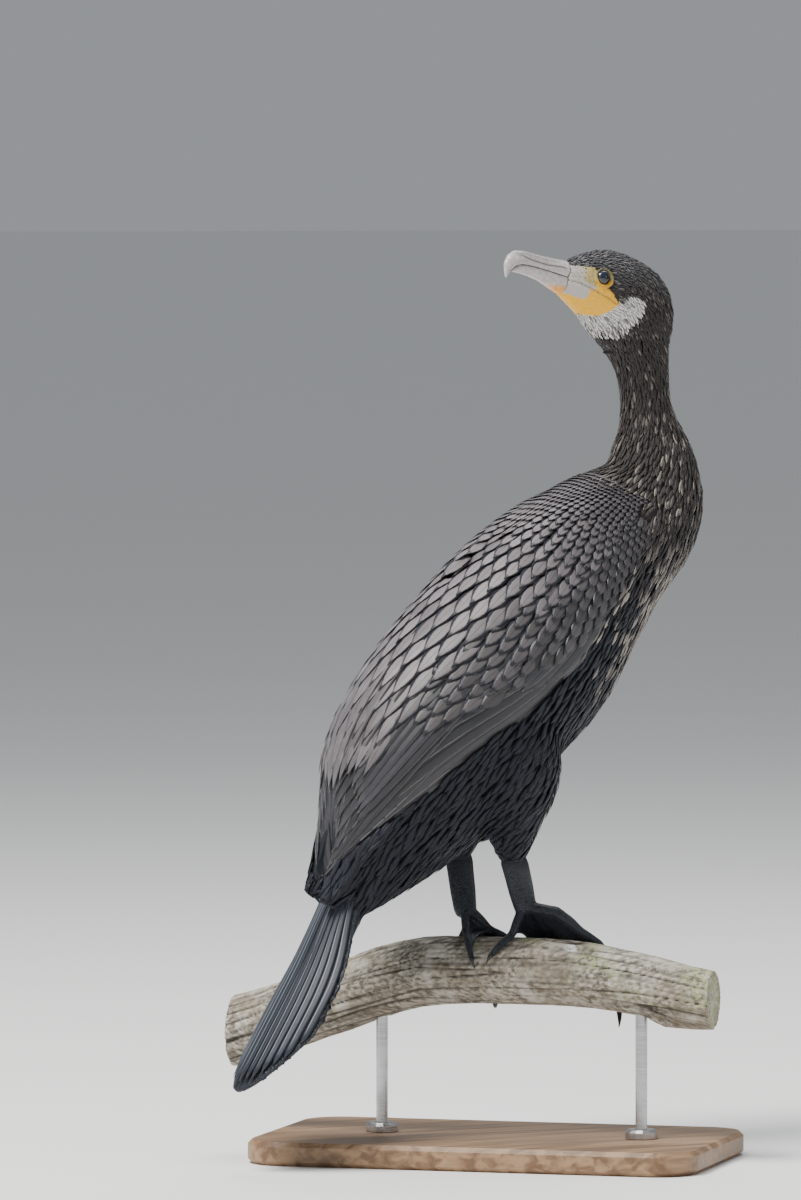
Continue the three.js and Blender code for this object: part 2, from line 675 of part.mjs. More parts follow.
function rod(along, extra = 0) {
  const { drop, radius } = perchStation(along);
  const bottom = rodFoot(along);
  const top = PERCH_HEIGHT - drop - radius + ROD_DEPTH + extra;
  const profile = [
    new THREE.Vector2(0, 0),
    new THREE.Vector2(COLLAR_RADIUS + extra, 0),
    new THREE.Vector2(COLLAR_RADIUS + extra, COLLAR_HEIGHT - COLLAR_EDGE),
    new THREE.Vector2(COLLAR_RADIUS - COLLAR_EDGE + extra, COLLAR_HEIGHT),
    new THREE.Vector2(ROD_RADIUS + extra, COLLAR_HEIGHT),
    new THREE.Vector2(ROD_RADIUS + extra, top - bottom.z),
    new THREE.Vector2(0, top - bottom.z),
  ];
  return new THREE.LatheGeometry(profile, ROD_SIDES).rotateX(Math.PI / 2).translate(bottom.x, bottom.y, bottom.z);
}

// Stand and perch
const base = addPart('stand_base', standBase(), 'base');
base.rotation.z = radians(PERCH_YAW);
for (const { name, along } of RODS) addPart(name, rod(along), 'steel');
addPart('perch_branch', cut(perch(), ...RODS.map(({ along }) => rod(along, GAP))), 'bark');

// Trunk and the lengths of the neck, parted by thin cuts
const TRUNK_SIDES = 28;
const TRUNK_STEPS = 15;
const NECK_SIDES = 20;
const BASE_CUT = GAP / 9;
const NECK_CUT = GAP / 12;
const trunk = bodyLength(RUMP, NECK_BASE, TRUNK_STEPS, TRUNK_SIDES);
const trunkRoom = bodyLength(RUMP, NECK_BASE, TRUNK_STEPS, TRUNK_SIDES, GAP);
addPart('trunk', trunk, 'belly');
addPart('neck_lower', bodyLength(NECK_BASE + BASE_CUT, NECK_MIDDLE, 3, NECK_SIDES), 'neck');
addPart('neck_middle', bodyLength(NECK_MIDDLE + NECK_CUT, NECK_UPPER, 3, NECK_SIDES), 'neck');
addPart('neck_upper', bodyLength(NECK_UPPER + NECK_CUT, CHIN, 4, NECK_SIDES), 'neck');

// Wings and tail
for (const { name, sign } of SIDES) addPart(`wing_${name}`, wing(sign), 'wing');
const wingRoom = SIDES.map(({ sign }) => wing(sign));
addPart('tail', cut(tail(), trunkRoom, ...wingRoom), 'tail');

// Legs, feet and claws
for (const { name } of SIDES) {
  const leg = LEGS[name];
  const foot = FEET[name];
  addPart(`thigh_${name}`, cut(thigh(leg), trunkRoom), 'belly');
  addPart(`shank_${name}`, cut(shank(leg, foot), thigh(leg, GAP), wholeFoot(foot, GAP)), 'leg');
  addPart(`foot_${name}`, wholeFoot(foot), 'leg');
  for (const spec of foot.toes) addPart(`claw_${name}_${spec.name}`, claw(foot, spec), 'claw');
}

// Head, bill and eyes
const eyeRoom = SIDES.map(({ sign }) => eyeball(sign, GAP));
addPart('head', cut(skull(), ...eyeRoom), 'neck', headFrame);
addPart('bill_upper', bill(UPPER_BILL, true), 'horn', headFrame);
addPart('bill_lower', bill(LOWER_BILL, false), 'horn', headFrame);
for (const { name, sign } of SIDES) addPart(`eye_${name}`, eyeball(sign), 'eye', headFrame);

export default model;
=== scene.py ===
"""Great cormorant on a cut length of branch: skin, feathers, bill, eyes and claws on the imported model."""

import json
import logging
import math
from collections.abc import Callable
from dataclasses import dataclass, field
from enum import Enum

import bpy
import numpy as np
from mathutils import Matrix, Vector, noise
from mathutils.bvhtree import BVHTree

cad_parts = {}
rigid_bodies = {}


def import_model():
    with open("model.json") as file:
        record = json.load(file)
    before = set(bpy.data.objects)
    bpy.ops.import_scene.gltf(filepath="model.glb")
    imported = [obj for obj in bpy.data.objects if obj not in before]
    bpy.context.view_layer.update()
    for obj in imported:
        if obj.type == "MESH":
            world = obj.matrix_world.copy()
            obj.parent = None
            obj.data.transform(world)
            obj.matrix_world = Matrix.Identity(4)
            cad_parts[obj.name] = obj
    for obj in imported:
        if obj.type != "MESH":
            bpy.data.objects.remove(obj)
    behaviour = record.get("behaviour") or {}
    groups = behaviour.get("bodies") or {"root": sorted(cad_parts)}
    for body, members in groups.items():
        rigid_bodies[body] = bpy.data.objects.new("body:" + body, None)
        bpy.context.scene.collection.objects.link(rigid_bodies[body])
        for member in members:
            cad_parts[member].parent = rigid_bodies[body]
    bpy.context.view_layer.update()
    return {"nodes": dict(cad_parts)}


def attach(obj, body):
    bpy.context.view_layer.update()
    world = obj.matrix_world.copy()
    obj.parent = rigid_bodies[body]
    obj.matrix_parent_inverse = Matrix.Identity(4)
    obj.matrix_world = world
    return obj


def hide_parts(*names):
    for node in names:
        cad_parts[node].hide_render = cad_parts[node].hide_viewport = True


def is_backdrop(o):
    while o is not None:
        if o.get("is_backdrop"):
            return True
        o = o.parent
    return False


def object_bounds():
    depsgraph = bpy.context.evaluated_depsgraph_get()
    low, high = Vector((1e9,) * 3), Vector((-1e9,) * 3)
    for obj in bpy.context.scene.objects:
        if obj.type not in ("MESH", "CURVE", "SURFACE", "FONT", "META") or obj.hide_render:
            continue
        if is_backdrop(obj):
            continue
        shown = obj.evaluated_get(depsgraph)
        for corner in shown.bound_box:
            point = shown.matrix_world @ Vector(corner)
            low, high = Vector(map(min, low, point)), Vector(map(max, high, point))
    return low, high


LOG = logging.getLogger("cormorant")
MM = 0.001
Array = np.ndarray
Rgb = tuple[float, float, float]
Rule = Callable[[Array], Array]

# The body's own axes: from between the shoulders, aft along the trunk, and up out of the back.
SHOULDERS = np.array([95.8, 0.0, 424.1]) * MM
AFT = np.array([-0.669, 0.0, -0.743])
DORSAL = np.array([-0.743, 0.0, 0.669])
LATERAL = np.array([0.0, 1.0, 0.0])

# Heights and forward places along the middle of the trunk and the neck, in metres.
SPINE_Z = np.array([0.10, 0.17, 0.28, 0.343, 0.424, 0.456, 0.541, 0.60])
SPINE_X = np.array([-0.16, -0.133, -0.043, 0.015, 0.096, 0.122, 0.110, 0.075])

# The head's own axes: origin between the eyes, forward along the mouth, left and over the crown.
HEAD_AT = np.array([62.6, -10.7, 592.5]) * MM
HEAD_YAW = math.radians(192)
HEAD_PITCH = math.radians(16)
EYE_AT = np.array([-3.2, 12.6, -0.8]) * MM
EYE_RADIUS = 5.4 * MM

# The tail: its root, the way to its tip, the way out of its upper face, and the middle feathers' length.
TAIL_ROOT = np.array([-119.0, 0.0, 187.0]) * MM
TAIL_WAY = np.array([-0.512, 0.0, -0.859]) / math.hypot(0.512, 0.859)
TAIL_UP = np.array([-0.859, 0.0, 0.512])
TAIL_LONG = 155 * MM

# Heights in metres where one covering passes to the next: legs to thighs, and neck to head.
ANKLE_Z = 0.194
LEG_BARE_Z = 0.190
LEG_FEATHERED_Z = 0.205
HEAD_Z = 0.54


class Side(Enum):
    """The bird's own left or right, by the sign of Y."""

    LEFT = 1
    RIGHT = -1

    @property
    def word(self) -> str:
        """The side's name as the nodes spell it."""
        return self.name.lower()


def mix(a: Array, b: Array, weight: Array) -> Array:
    """Blends two values or rows of colours by a weight from 0 to 1."""
    return a + (b - a) * weight


def ramp(low: float, high: float, value: Array) -> Array:
    """Smooth step from 0 at low to 1 at high."""
    t = np.clip((np.asarray(value, float) - low) / (high - low), 0, 1)
    return t * t * (3 - 2 * t)


def unit(rows: Array) -> Array:
    """Rows of vectors scaled to length one."""
    return rows / np.maximum(np.linalg.norm(rows, axis=-1, keepdims=True), 1e-12)


def head_axes() -> Array:
    """The head's three axes as the columns of a matrix."""
    cos_yaw, sin_yaw = math.cos(HEAD_YAW), math.sin(HEAD_YAW)
    cos_pitch, sin_pitch = math.cos(HEAD_PITCH), math.sin(HEAD_PITCH)
    turn = np.array([[cos_yaw, -sin_yaw, 0], [sin_yaw, cos_yaw, 0], [0, 0, 1]])
    nod = np.array([[cos_pitch, 0, -sin_pitch], [0, 1, 0], [sin_pitch, 0, cos_pitch]])
    return turn @ nod


HEAD_AXES = head_axes()


def to_head(points: Array) -> Array:
    """Points of the frame in the head's own axes, in millimetres."""
    return (points - HEAD_AT) @ HEAD_AXES / MM


def from_head(points: Array) -> Array:
    """Points in the head's own axes, in metres, brought to the frame."""
    return HEAD_AT + points @ HEAD_AXES.T


def body_place(points: Array) -> tuple[Array, Array]:
    """Distance aft of the shoulders in millimetres, and the angle down from the back line in degrees."""
    rel = points - SHOULDERS
    angle = np.degrees(np.arctan2(np.abs(rel[..., 1]), rel @ DORSAL))
    return rel @ AFT / MM, angle


def inside(outline: list[tuple[float, float]], x: Array, z: Array) -> Array:
    """Which points fall within an outline.

    Args:
        outline: corners in order.
        x: first coordinate of each point.
        z: second coordinate of each point.

    Returns:
        A mask, true inside.
    """
    found = np.zeros(np.shape(x), bool)
    for (x0, z0), (x1, z1) in zip(outline, outline[1:] + outline[:1]):
        crosses = (z0 > z) != (z1 > z)
        height = z1 - z0 if z1 != z0 else 1e-9
        found ^= crosses & (x < (x1 - x0) * (z - z0) / height + x0)
    return found


def deselect() -> None:
    """Leaves nothing selected."""
    bpy.ops.object.select_all(action="DESELECT")


def pick(obj: bpy.types.Object) -> None:
    """Makes one object the only selected and the active one."""
    deselect()
    obj.select_set(True)
    bpy.context.view_layer.objects.active = obj


def apply_modifier(obj: bpy.types.Object, kind: str, **settings: object) -> None:
    """Adds a modifier, sets it up and applies it.

    Args:
        obj: the object to change.
        kind: the modifier's type.
        settings: its properties.
    """
    pick(obj)
    bpy.ops.object.modifier_add(type=kind)
    modifier = obj.modifiers[-1]
    for key, value in settings.items():
        setattr(modifier, key, value)
    bpy.ops.object.modifier_apply(modifier=modifier.name)


def drop_crumbs(obj: bpy.types.Object) -> None:
    """Deletes whatever isn't joined to the mesh's foremost vertex.

    Args:
        obj: the object, of which one connected piece is kept.
    """
    points = vertices_of(obj)
    pick(obj)
    bpy.ops.object.mode_set(mode="EDIT")
    bpy.ops.mesh.select_all(action="DESELECT")
    bpy.ops.object.mode_set(mode="OBJECT")
    obj.data.vertices[int(points[:, 0].argmax())].select = True
    bpy.ops.object.mode_set(mode="EDIT")
    bpy.ops.mesh.select_mode(type="VERT")
    bpy.ops.mesh.select_linked()
    bpy.ops.mesh.select_all(action="INVERT")
    bpy.ops.mesh.delete(type="VERT")
    bpy.ops.object.mode_set(mode="OBJECT")


def copy_of(nodes: list[bpy.types.Object], name: str) -> bpy.types.Object:
    """One welded object made from copies of model nodes.

    Args:
        nodes: the nodes to copy.
        name: the new piece's name.

    Returns:
        The new object.
    """
    deselect()
    copies = []
    for node in nodes:
        copy = node.copy()
        copy.data = node.data.copy()
        copy.parent = None
        for key in list(copy.keys()):
            del copy[key]
        bpy.context.scene.collection.objects.link(copy)
        copy.select_set(True)
        copies.append(copy)
    bpy.context.view_layer.objects.active = copies[0]
    if len(copies) > 1:
        bpy.ops.object.join()
    piece = bpy.context.view_layer.objects.active
    piece.name = name
    piece.data.name = name
    piece.data.materials.clear()
    pick(piece)
    bpy.ops.object.mode_set(mode="EDIT")
    bpy.ops.mesh.select_all(action="SELECT")
    bpy.ops.mesh.remove_doubles(threshold=1e-5)
    bpy.ops.object.mode_set(mode="OBJECT")
    return piece


def vertices_of(obj: bpy.types.Object) -> Array:
    """The object's vertex positions as rows."""
    rows = np.empty(len(obj.data.vertices) * 3, np.float32)
    obj.data.vertices.foreach_get("co", rows)
    return rows.reshape(-1, 3).astype(float)


def normals_of(obj: bpy.types.Object) -> Array:
    """The object's vertex normals as rows."""
    rows = np.empty(len(obj.data.vertices) * 3, np.float32)
    obj.data.vertex_normals.foreach_get("vector", rows)
    return rows.reshape(-1, 3).astype(float)


def set_vertices(obj: bpy.types.Object, rows: Array) -> None:
    """Moves the object's vertices to new positions."""
    obj.data.vertices.foreach_set("co", rows.astype(np.float32).ravel())
    obj.data.update()


def set_tint(obj: bpy.types.Object, name: str, rows: Array) -> None:
    """Stores a colour for each vertex under a name."""
    layer = obj.data.attributes.get(name) or obj.data.attributes.new(name, "FLOAT_COLOR", "POINT")
    colours = np.ones((len(rows), 4), np.float32)
    colours[:, :3] = rows
    layer.data.foreach_set("color", colours.ravel())


def set_value(obj: bpy.types.Object, name: str, rows: Array) -> None:
    """Stores a number for each vertex under a name."""
    layer = obj.data.attributes.get(name) or obj.data.attributes.new(name, "FLOAT", "POINT")
    layer.data.foreach_set("value", rows.astype(np.float32))


def smooth_shade(obj: bpy.types.Object) -> None:
    """Shades an object smooth all over."""
    pick(obj)
    bpy.ops.object.shade_smooth()
    deselect()


@dataclass
class Form:
    """The bird's outer shape as a smooth surface that feathers are laid on.

    Attributes:
        obj: the mesh it is read from.
    """

    obj: bpy.types.Object
    tree: BVHTree = field(init=False)
    points: Array = field(init=False)
    corners: Array = field(init=False)
    face_normals: Array = field(init=False)

    def __post_init__(self) -> None:
        """Reads the mesh once and builds its search tree."""
        mesh = self.obj.data
        mesh.calc_loop_triangles()
        self.points = vertices_of(self.obj)
        corners = np.empty(len(mesh.loop_triangles) * 3, np.int32)
        mesh.loop_triangles.foreach_get("vertices", corners)
        self.corners = corners.reshape(-1, 3)
        self.tree = BVHTree.FromPolygons(self.points.tolist(), self.corners.tolist())
        self.face_normals = unit(normals_of(self.obj)[self.corners].mean(axis=1))

    def nearest(self, places: Array) -> tuple[Array, Array]:
        """Nearest surface points and the outward directions there.

        Args:
            places: rows of points.

        Returns:
            Points on the surface and unit normals.
        """
        flat = places.reshape(-1, 3)
        spots = np.empty_like(flat)
        faces = np.empty(len(flat), int)
        for i, place in enumerate(flat.tolist()):
            spot, _, face, _ = self.tree.find_nearest(place)
            spots[i] = spot
            faces[i] = face
        return spots.reshape(places.shape), self.face_normals[faces].reshape(places.shape)

    def scatter(self, keep: Rule, spacing: Rule, rng: np.random.Generator) -> tuple[Array, Array]:
        """Spreads points over part of the surface, none closer than the spacing there.

        Args:
            keep: tells which points belong.
            spacing: gives the distance wanted at each point, in metres.
            rng: source of chance.

        Returns:
            Points and outward directions.
        """
        a, b, c = (self.points[self.corners[:, k]] for k in range(3))
        middle = (a + b + c) / 3
        wanted = keep(middle)
        area = np.linalg.norm(np.cross(b - a, c - a), axis=1) / 2
        gap = spacing(middle)
        weight = np.where(wanted, area / gap**2, 0)
        count = int(weight.sum() * 4.5)
        faces = rng.choice(len(area), count, p=weight / weight.sum())
        r1, r2 = np.sqrt(rng.random(count)), rng.random(count)
        spots = ((1 - r1)[:, None] * a[faces] + (r1 * (1 - r2))[:, None] * b[faces]
                 + (r1 * r2)[:, None] * c[faces])
        gaps = gap[faces]
        cell = float(gaps.min())
        grid: dict[tuple[int, int, int], list[int]] = {}
        kept: list[int] = []
        cells = np.floor(spots / cell).astype(int)
        for i in range(count):
            reach = gaps[i]
            span = int(math.ceil(reach / cell))
            x, y, z = cells[i]
            near = False
            for dx in range(-span, span + 1):
                for dy in range(-span, span + 1):
                    for dz in range(-span, span + 1):
                        for j in grid.get((x + dx, y + dy, z + dz), ()):
                            if np.dot(spots[i] - spots[j], spots[i] - spots[j]) < reach * reach:
                                near = True
                                break
                        if near:
                            break
                    if near:
                        break
                if near:
                    break
            if not near:
                grid.setdefault((x, y, z), []).append(i)
                kept.append(i)
        chosen = np.array(kept)
        return spots[chosen], self.face_normals[faces[chosen]]


@dataclass
class Blades:
    """Feathers of one kind, each a closed vane with a raised shaft along a path.

    Attributes:
        paths: for each feather a row of points from root to tip.
        ups: the outward direction at each of those points.
        widths: full width of each feather, in metres.
        outline: share of the width at each point of the path.
        across: where the columns stand, from 0 at one edge to 1 at the other.
        ridge: height of the shaft over the edges, in metres.
        tint: colour of each vane.
        rim: colour of each vane's border.
        shaft: colour of each shaft.
        tilt: height of the left edge over the middle, in metres, for each feather.
    """

    paths: Array
    ups: Array
    widths: Array
    outline: Array
    across: Array
    ridge: Array
    tint: Array
    rim: Array
    shaft: Array
    tilt: float | Array = 0.0

    def build(self, name: str, cells: Array, patch: Array) -> bpy.types.Object:
        """Makes one joined mesh of all the feathers.

        Args:
            name: the piece's name.
            cells: lower left corner of each feather's patch on the OFBake map.
            patch: width and height of each feather's patch.

        Returns:
            The new object.
        """
        count, rows, _ = self.paths.shape
        columns = len(self.across)
        ways = unit(np.gradient(self.paths, axis=1))
        sides = unit(np.cross(ways, self.ups))
        offset = self.across - 0.5
        outline = self.outline[None, :, None]
        aside = self.widths[:, None, None] * outline * offset
        tent = self.ridge[:, None, None] * (1 - (2 * np.abs(offset)) ** 1.4) * np.minimum(1, 3 * outline)
        lean = np.broadcast_to(self.tilt, count)[:, None, None] * 2 * offset * outline
        up = self.ups[:, :, None, :]
        points = self.paths[:, :, None, :] + sides[:, :, None, :] * aside[..., None]
        points = points + up * tent[..., None] + up * lean[..., None]
        per = rows * columns
        r, c = np.meshgrid(np.arange(rows - 1), np.arange(columns - 1), indexing="ij")
        a = (r * columns + c).ravel()
        top = np.stack([a, a + 1, a + 1 + columns, a + columns], axis=1)
        start = np.arange(rows - 1) * columns
        far = start + columns
        under = np.stack([far, far + columns - 1, far - 1, start], axis=1)
        quads = np.concatenate([top, under])
        root_cap = np.arange(columns)[::-1]
        tip_cap = np.arange(columns) + (rows - 1) * columns
        loops_one = np.concatenate([quads.ravel(), root_cap, tip_cap])
        totals_one = np.concatenate([np.full(len(quads), 4), [columns, columns]])
        sharp_one = np.concatenate([np.zeros(len(top), bool), np.ones(len(under) + 2, bool)])
        loops = (loops_one[None, :] + (np.arange(count) * per)[:, None]).ravel()
        totals = np.tile(totals_one, count)
        starts = np.concatenate([[0], np.cumsum(totals)[:-1]])
        mesh = bpy.data.meshes.new(name)
        mesh.vertices.add(count * per)
        mesh.vertices.foreach_set("co", points.astype(np.float32).ravel())
        mesh.loops.add(len(loops))
        mesh.loops.foreach_set("vertex_index", loops.astype(np.int32))
        mesh.polygons.add(len(totals))
        mesh.polygons.foreach_set("loop_start", starts.astype(np.int32))
        mesh.update(calc_edges=True)
        mesh.polygons.foreach_set("use_smooth", ~np.tile(sharp_one, count))
        u = np.broadcast_to(self.across[None, :], (rows, columns)).ravel()
        v = np.broadcast_to(np.linspace(0, 1, rows)[:, None], (rows, columns)).ravel()
        local = np.stack([u, v], axis=1)[loops_one]
        which = np.repeat(np.arange(count), len(loops_one))
        places = np.tile(local, (count, 1))
        self._map(mesh, "Feather", places)
        self._map(mesh, "OFBake", cells[which] + (0.08 + 0.84 * places) * patch[which])
        obj = bpy.data.objects.new(name, mesh)
        bpy.context.scene.collection.objects.link(obj)
        for layer, values in (("tint", self.tint), ("rim", self.rim), ("shaft", self.shaft)):
            set_tint(obj, layer, np.repeat(values, per, axis=0))
        lengths = np.linalg.norm(np.diff(self.paths, axis=1), axis=2).sum(axis=1) / MM
        set_value(obj, "long", np.repeat(lengths, per))
        set_value(obj, "wide", np.repeat(self.widths / MM, per))
        mesh.validate()
        return obj

    @staticmethod
    def _map(mesh: bpy.types.Mesh, name: str, rows: Array) -> None:
        """Adds a UV map with a place for each corner."""
        layer = mesh.uv_layers.new(name=name)
        layer.data.foreach_set("uv", rows.astype(np.float32).ravel())


def vane_outline(rows: int, root: float, widest: float, tip: float) -> Array:
    """Share of a feather's width along its length.

    Args:
        rows: how many points the path has.
        root: share at the root.
        widest: place of the full width, from 0 to 1.
        tip: how blunt the end is, from 0.3 (round) to 1.6 (pointed).

    Returns:
        One share for each point.
    """
    v = np.linspace(0, 1, rows)
    rise = root + (1 - root) * np.sin(np.clip(v / widest, 0, 1) * math.pi / 2)
    fall = (1 - np.clip((v - widest) / (1 - widest), 0, 1) ** 2) ** tip
    return np.maximum(rise * fall, 0.05)


def bake_cells(points: Array, grid: int) -> Array:
    """A place of its own for each feather on an unwrap of the body round its own length.

    Args:
        points: the feathers' roots.
        grid: how many cells the map has each way.

    Returns:
        Lower left corners of cells that no two feathers share.
    """
    low = points[:, 2].min()
    high = points[:, 2].max()
    aft = (points[:, 2] - low) / max(high - low, 1e-6)
    centre = np.stack([np.interp(points[:, 2], SPINE_Z, SPINE_X), np.zeros(len(points))], axis=1)
    turn = np.arctan2(points[:, 1] - centre[:, 1], points[:, 0] - centre[:, 0]) / (2 * math.pi) + 0.5
    taken: set[tuple[int, int]] = set()
    spots = np.stack([turn, aft], axis=1) * (grid - 1)
    cells = np.empty((len(points), 2))
    steps = [(i, j) for i in range(-14, 15) for j in range(-14, 15)]
    steps.sort(key=lambda s: s[0] ** 2 + s[1] ** 2)
    for k, (x, y) in enumerate(spots.round().astype(int).tolist()):
        for dx, dy in steps:
            spot = ((x + dx) % grid, min(max(y + dy, 0), grid - 1))
            if spot not in taken:
                break
        taken.add(spot)
        cells[k] = spot
    return cells / grid


def lay(form: Form, roots: Array, normals: Array, ways: Array, lengths: Array, rows: int,
        root_lift: Array, tip_lift: Array) -> tuple[Array, Array]:
    """Paths that lie along the surface from each root.

    Args:
        form: the surface.
        roots: starting points.
        normals: outward directions at the roots.
        ways: directions to lie in.
        lengths: length of each path, in metres.
        rows: points on each path.
        root_lift: height of the root over the surface, in metres.
        tip_lift: height of the tip.

    Returns:
        Paths and outward directions.
    """
    spots, ups = [roots], [normals]
    way = unit(ways - normals * (ways * normals).sum(axis=1, keepdims=True))
    for _ in range(rows - 1):
        ahead = spots[-1] + way * (lengths / (rows - 1))[:, None]
        spot, up = form.nearest(ahead)
        way = unit(way - up * (way * up).sum(axis=1, keepdims=True))
        spots.append(spot)
        ups.append(up)
    paths = np.stack(spots, axis=1)
    outward = np.stack(ups, axis=1)
    v = np.linspace(0, 1, rows)[None, :]
    lift = root_lift[:, None] + (tip_lift - root_lift)[:, None] * v
    return paths + outward * lift[..., None], outward


def ease(paths: Array, ups: Array, rounds: int) -> None:
    """Evens out paths and their outward directions in place, their ends kept."""
    for _ in range(rounds):
        paths[:, 1:-1] = (paths[:, :-2] + 2 * paths[:, 1:-1] + paths[:, 2:]) / 4
        ups[:, 1:-1] = unit(ups[:, :-2] + 2 * ups[:, 1:-1] + ups[:, 2:])


# The folded wing's lower edge, in degrees down from the back line, against millimetres aft of the shoulders.
EDGE_AT = [0, 26, 72, 109, 154, 197, 236, 260, 288, 305, 325, 335, 350]
EDGE_TURN = [85, 93, 101, 104, 99, 85, 79, 73, 61, 50, 25, 12, 4]
SCAPULAR_AT = [0, 40, 88, 140, 190, 230, 275]
SCAPULAR_TURN = [70, 68, 60, 46, 38, 34, 25]
COVERT_AT = [0, 26, 72, 110, 150, 190, 215, 240]
COVERT_TURN = [88, 90, 92, 85, 74, 62, 50, 40]


def low_edge(aft: Array) -> Array:
    """Angle of the wing's lower edge at a distance aft in millimetres."""
    return np.interp(aft, EDGE_AT, EDGE_TURN)


@dataclass
class Back:
    """Places on the back and wings given by distance aft and angle from the back line."""

    form: Form

    def place(self, aft: Array, turn: Array) -> tuple[Array, Array]:
        """Finds the outer surface along rays across the trunk.

        Args:
            aft: millimetres aft of the shoulders.
            turn: degrees down from the back line, negative on the right side.

        Returns:
            Points and outward directions.
        """
        shape = np.shape(aft)
        flat_aft, flat_turn = np.ravel(aft), np.radians(np.ravel(turn))
        axis = SHOULDERS + AFT * (flat_aft * MM)[:, None]
        out = DORSAL * np.cos(flat_turn)[:, None] + LATERAL * np.sin(flat_turn)[:, None]
        spots = np.empty((len(flat_aft), 3))
        ups = np.empty((len(flat_aft), 3))
        for i in range(len(flat_aft)):
            start = axis[i] + out[i] * 0.16
            spot, _, face, _ = self.form.tree.ray_cast(Vector(start), Vector(-out[i]), 0.16)
            if face is None:
                spot, _, face, _ = self.form.tree.find_nearest(Vector(axis[i] + out[i] * 0.05))
            spots[i] = spot
            ups[i] = self.form.face_normals[face]
        return spots.reshape(*shape, 3), ups.reshape(*shape, 3)

    def vanes(self, start: Array, end: Array, rows: int) -> tuple[Array, Array]:
        """Paths between pairs of places.

        Args:
            start: aft and turn of each root.
            end: aft and turn of each tip.
            rows: points on each path.

        Returns:
            Paths and outward directions, not lifted.
        """
        v = np.linspace(0, 1, rows)[None, :]
        aft = start[:, :1] * (1 - v) + end[:, :1] * v
        turn = start[:, 1:] * (1 - v) + end[:, 1:] * v
        spots, ups = self.place(aft, turn)
        smooth = ups.copy()
        smooth[:, 1:-1] = (ups[:, :-2] + 2 * ups[:, 1:-1] + ups[:, 2:]) / 4
        return spots, unit(smooth)


# Ground colours, in linear red, green and blue.
NECK_DARK = np.array([0.030, 0.024, 0.023])
# The crown's dark ground, lightened toward grey-lilac as a painted sheen.
CROWN_DARK_AND_PAINTED_SHEEN = np.array([0.042, 0.042, 0.050])
BELLY_DARK = np.array([0.007, 0.009, 0.015])
FLECK = np.array([0.42, 0.37, 0.32])
CHEEK_WHITE = np.array([0.72, 0.70, 0.68])
GULAR_YELLOW = np.array([0.88, 0.45, 0.012])
LORE_CREAM = np.array([0.40, 0.32, 0.11])
HORN_PALE = np.array([0.46, 0.43, 0.41])
LEG_BLACK = np.array([0.004, 0.005, 0.008])
RING_OLIVE = np.array([0.13, 0.115, 0.06])
BREAST_GREY = np.array([0.050, 0.046, 0.050])
MOUTH_BROWN = np.array([0.10, 0.08, 0.06])
BREAST_WAY = np.array([0.88, 0.0, -0.30])

# Outlines on the side of the head, in millimetres forward and up in its own axes.
LORES = [(27, 0.5), (17.4, 1.6), (9, 3.6), (4, 4.6), (2, -6.2), (-5.7, -6.6), (-11, -8.6),
         (-18.6, -15.0), (-17.8, -15.7), (-8.9, -13.3), (1.1, -11.3), (13.4, -9.2), (27, -9.3)]
GULAR = [(27, -9.3), (13.4, -9.2), (1.1, -11.3), (-8.9, -13.3), (-18.6, -15.2), (-16.0, -19.5),
         (-12.3, -22.8), (-8.4, -26.0), (-2, -27), (8, -25), (18.6, -22), (27, -21)]
RAMUS = [(27, -9.3), (13.4, -9.2), (6, -10.3), (4.5, -14.5), (6, -18.4), (12, -18.4), (27, -17.4)]
MOUTH_X = [-17.8, -8.9, 1.1, 13.4, 24.7]
MOUTH_Z = [-15.7, -13.3, -11.3, -9.2, -9.3]
WHITE = [(10, -23), (-2, -25.5), (-8.4, -25.6), (-12.3, -22.6), (-16.0, -19.3), (-18.4, -15.4),
         (-18, -11.5), (-24, -6.5), (-33, -5.0), (-39, -8), (-38, -15), (-33.4, -24.2), (-30, -31),
         (-27.5, -34.2), (-21, -37.5), (-13.4, -37), (0, -33), (10, -29)]


def eye_distance(local: Array) -> Array:
    """Distance in millimetres from the nearer eye's own line, seen from the side."""
    return np.hypot(local[..., 0] - EYE_AT[0] / MM, local[..., 2] - EYE_AT[2] / MM)


def bare(points: Array) -> Array:
    """Which points of the head are bare skin: round the eye, before it, and the pouch below the bill."""
    local = to_head(points)
    x, z = local[..., 0], local[..., 2]
    near = (x > -45) & (z > -40)
    return near & ((eye_distance(local) < 6.9) | inside(LORES, x, z) | inside(GULAR, x, z) | (x > 26))


def flecks(points: Array, normals: Array) -> Array:
    """Share of pale-tipped feathers at each point of the neck and breast."""
    z = points[..., 2]
    front = normals @ BREAST_WAY
    breast = ramp(0.25, 0.80, front) * ramp(0.300, 0.350, z) * (1 - ramp(0.395, 0.43, z))
    neck = (0.16 + 0.26 * ramp(0.2, 0.9, front)) * ramp(0.385, 0.42, z) * (1 - ramp(0.495, 0.56, z))
    return np.clip(breast * 0.95 + neck, 0, 1)


def body_colour(points: Array, normals: Array) -> Array:
    """The ground colour of the small feathers and the skin below them, with a painted sheen on the crown."""
    z = points[..., 2]
    colour = mix(BELLY_DARK, NECK_DARK, ramp(0.34, 0.43, z)[..., None])
    # Toward the crown the colour lightens to grey-lilac: dark feathers with a painted sheen.
    colour = mix(colour, CROWN_DARK_AND_PAINTED_SHEEN, ramp(0.575, 0.600, z)[..., None])
    front = ramp(0.35, 0.85, normals @ BREAST_WAY)
    lit = front * ramp(0.25, 0.33, z) * (1 - ramp(0.40, 0.46, z))
    return mix(colour, BREAST_GREY, (0.7 * lit)[..., None])


def head_colour(points: Array, normals: Array) -> Array:
    """Ground colour of the head, feathers and bare skin together."""
    local = to_head(points)
    white = inside(WHITE, local[..., 0], local[..., 2])
    return np.where(white[..., None], CHEEK_WHITE, body_colour(points, normals))


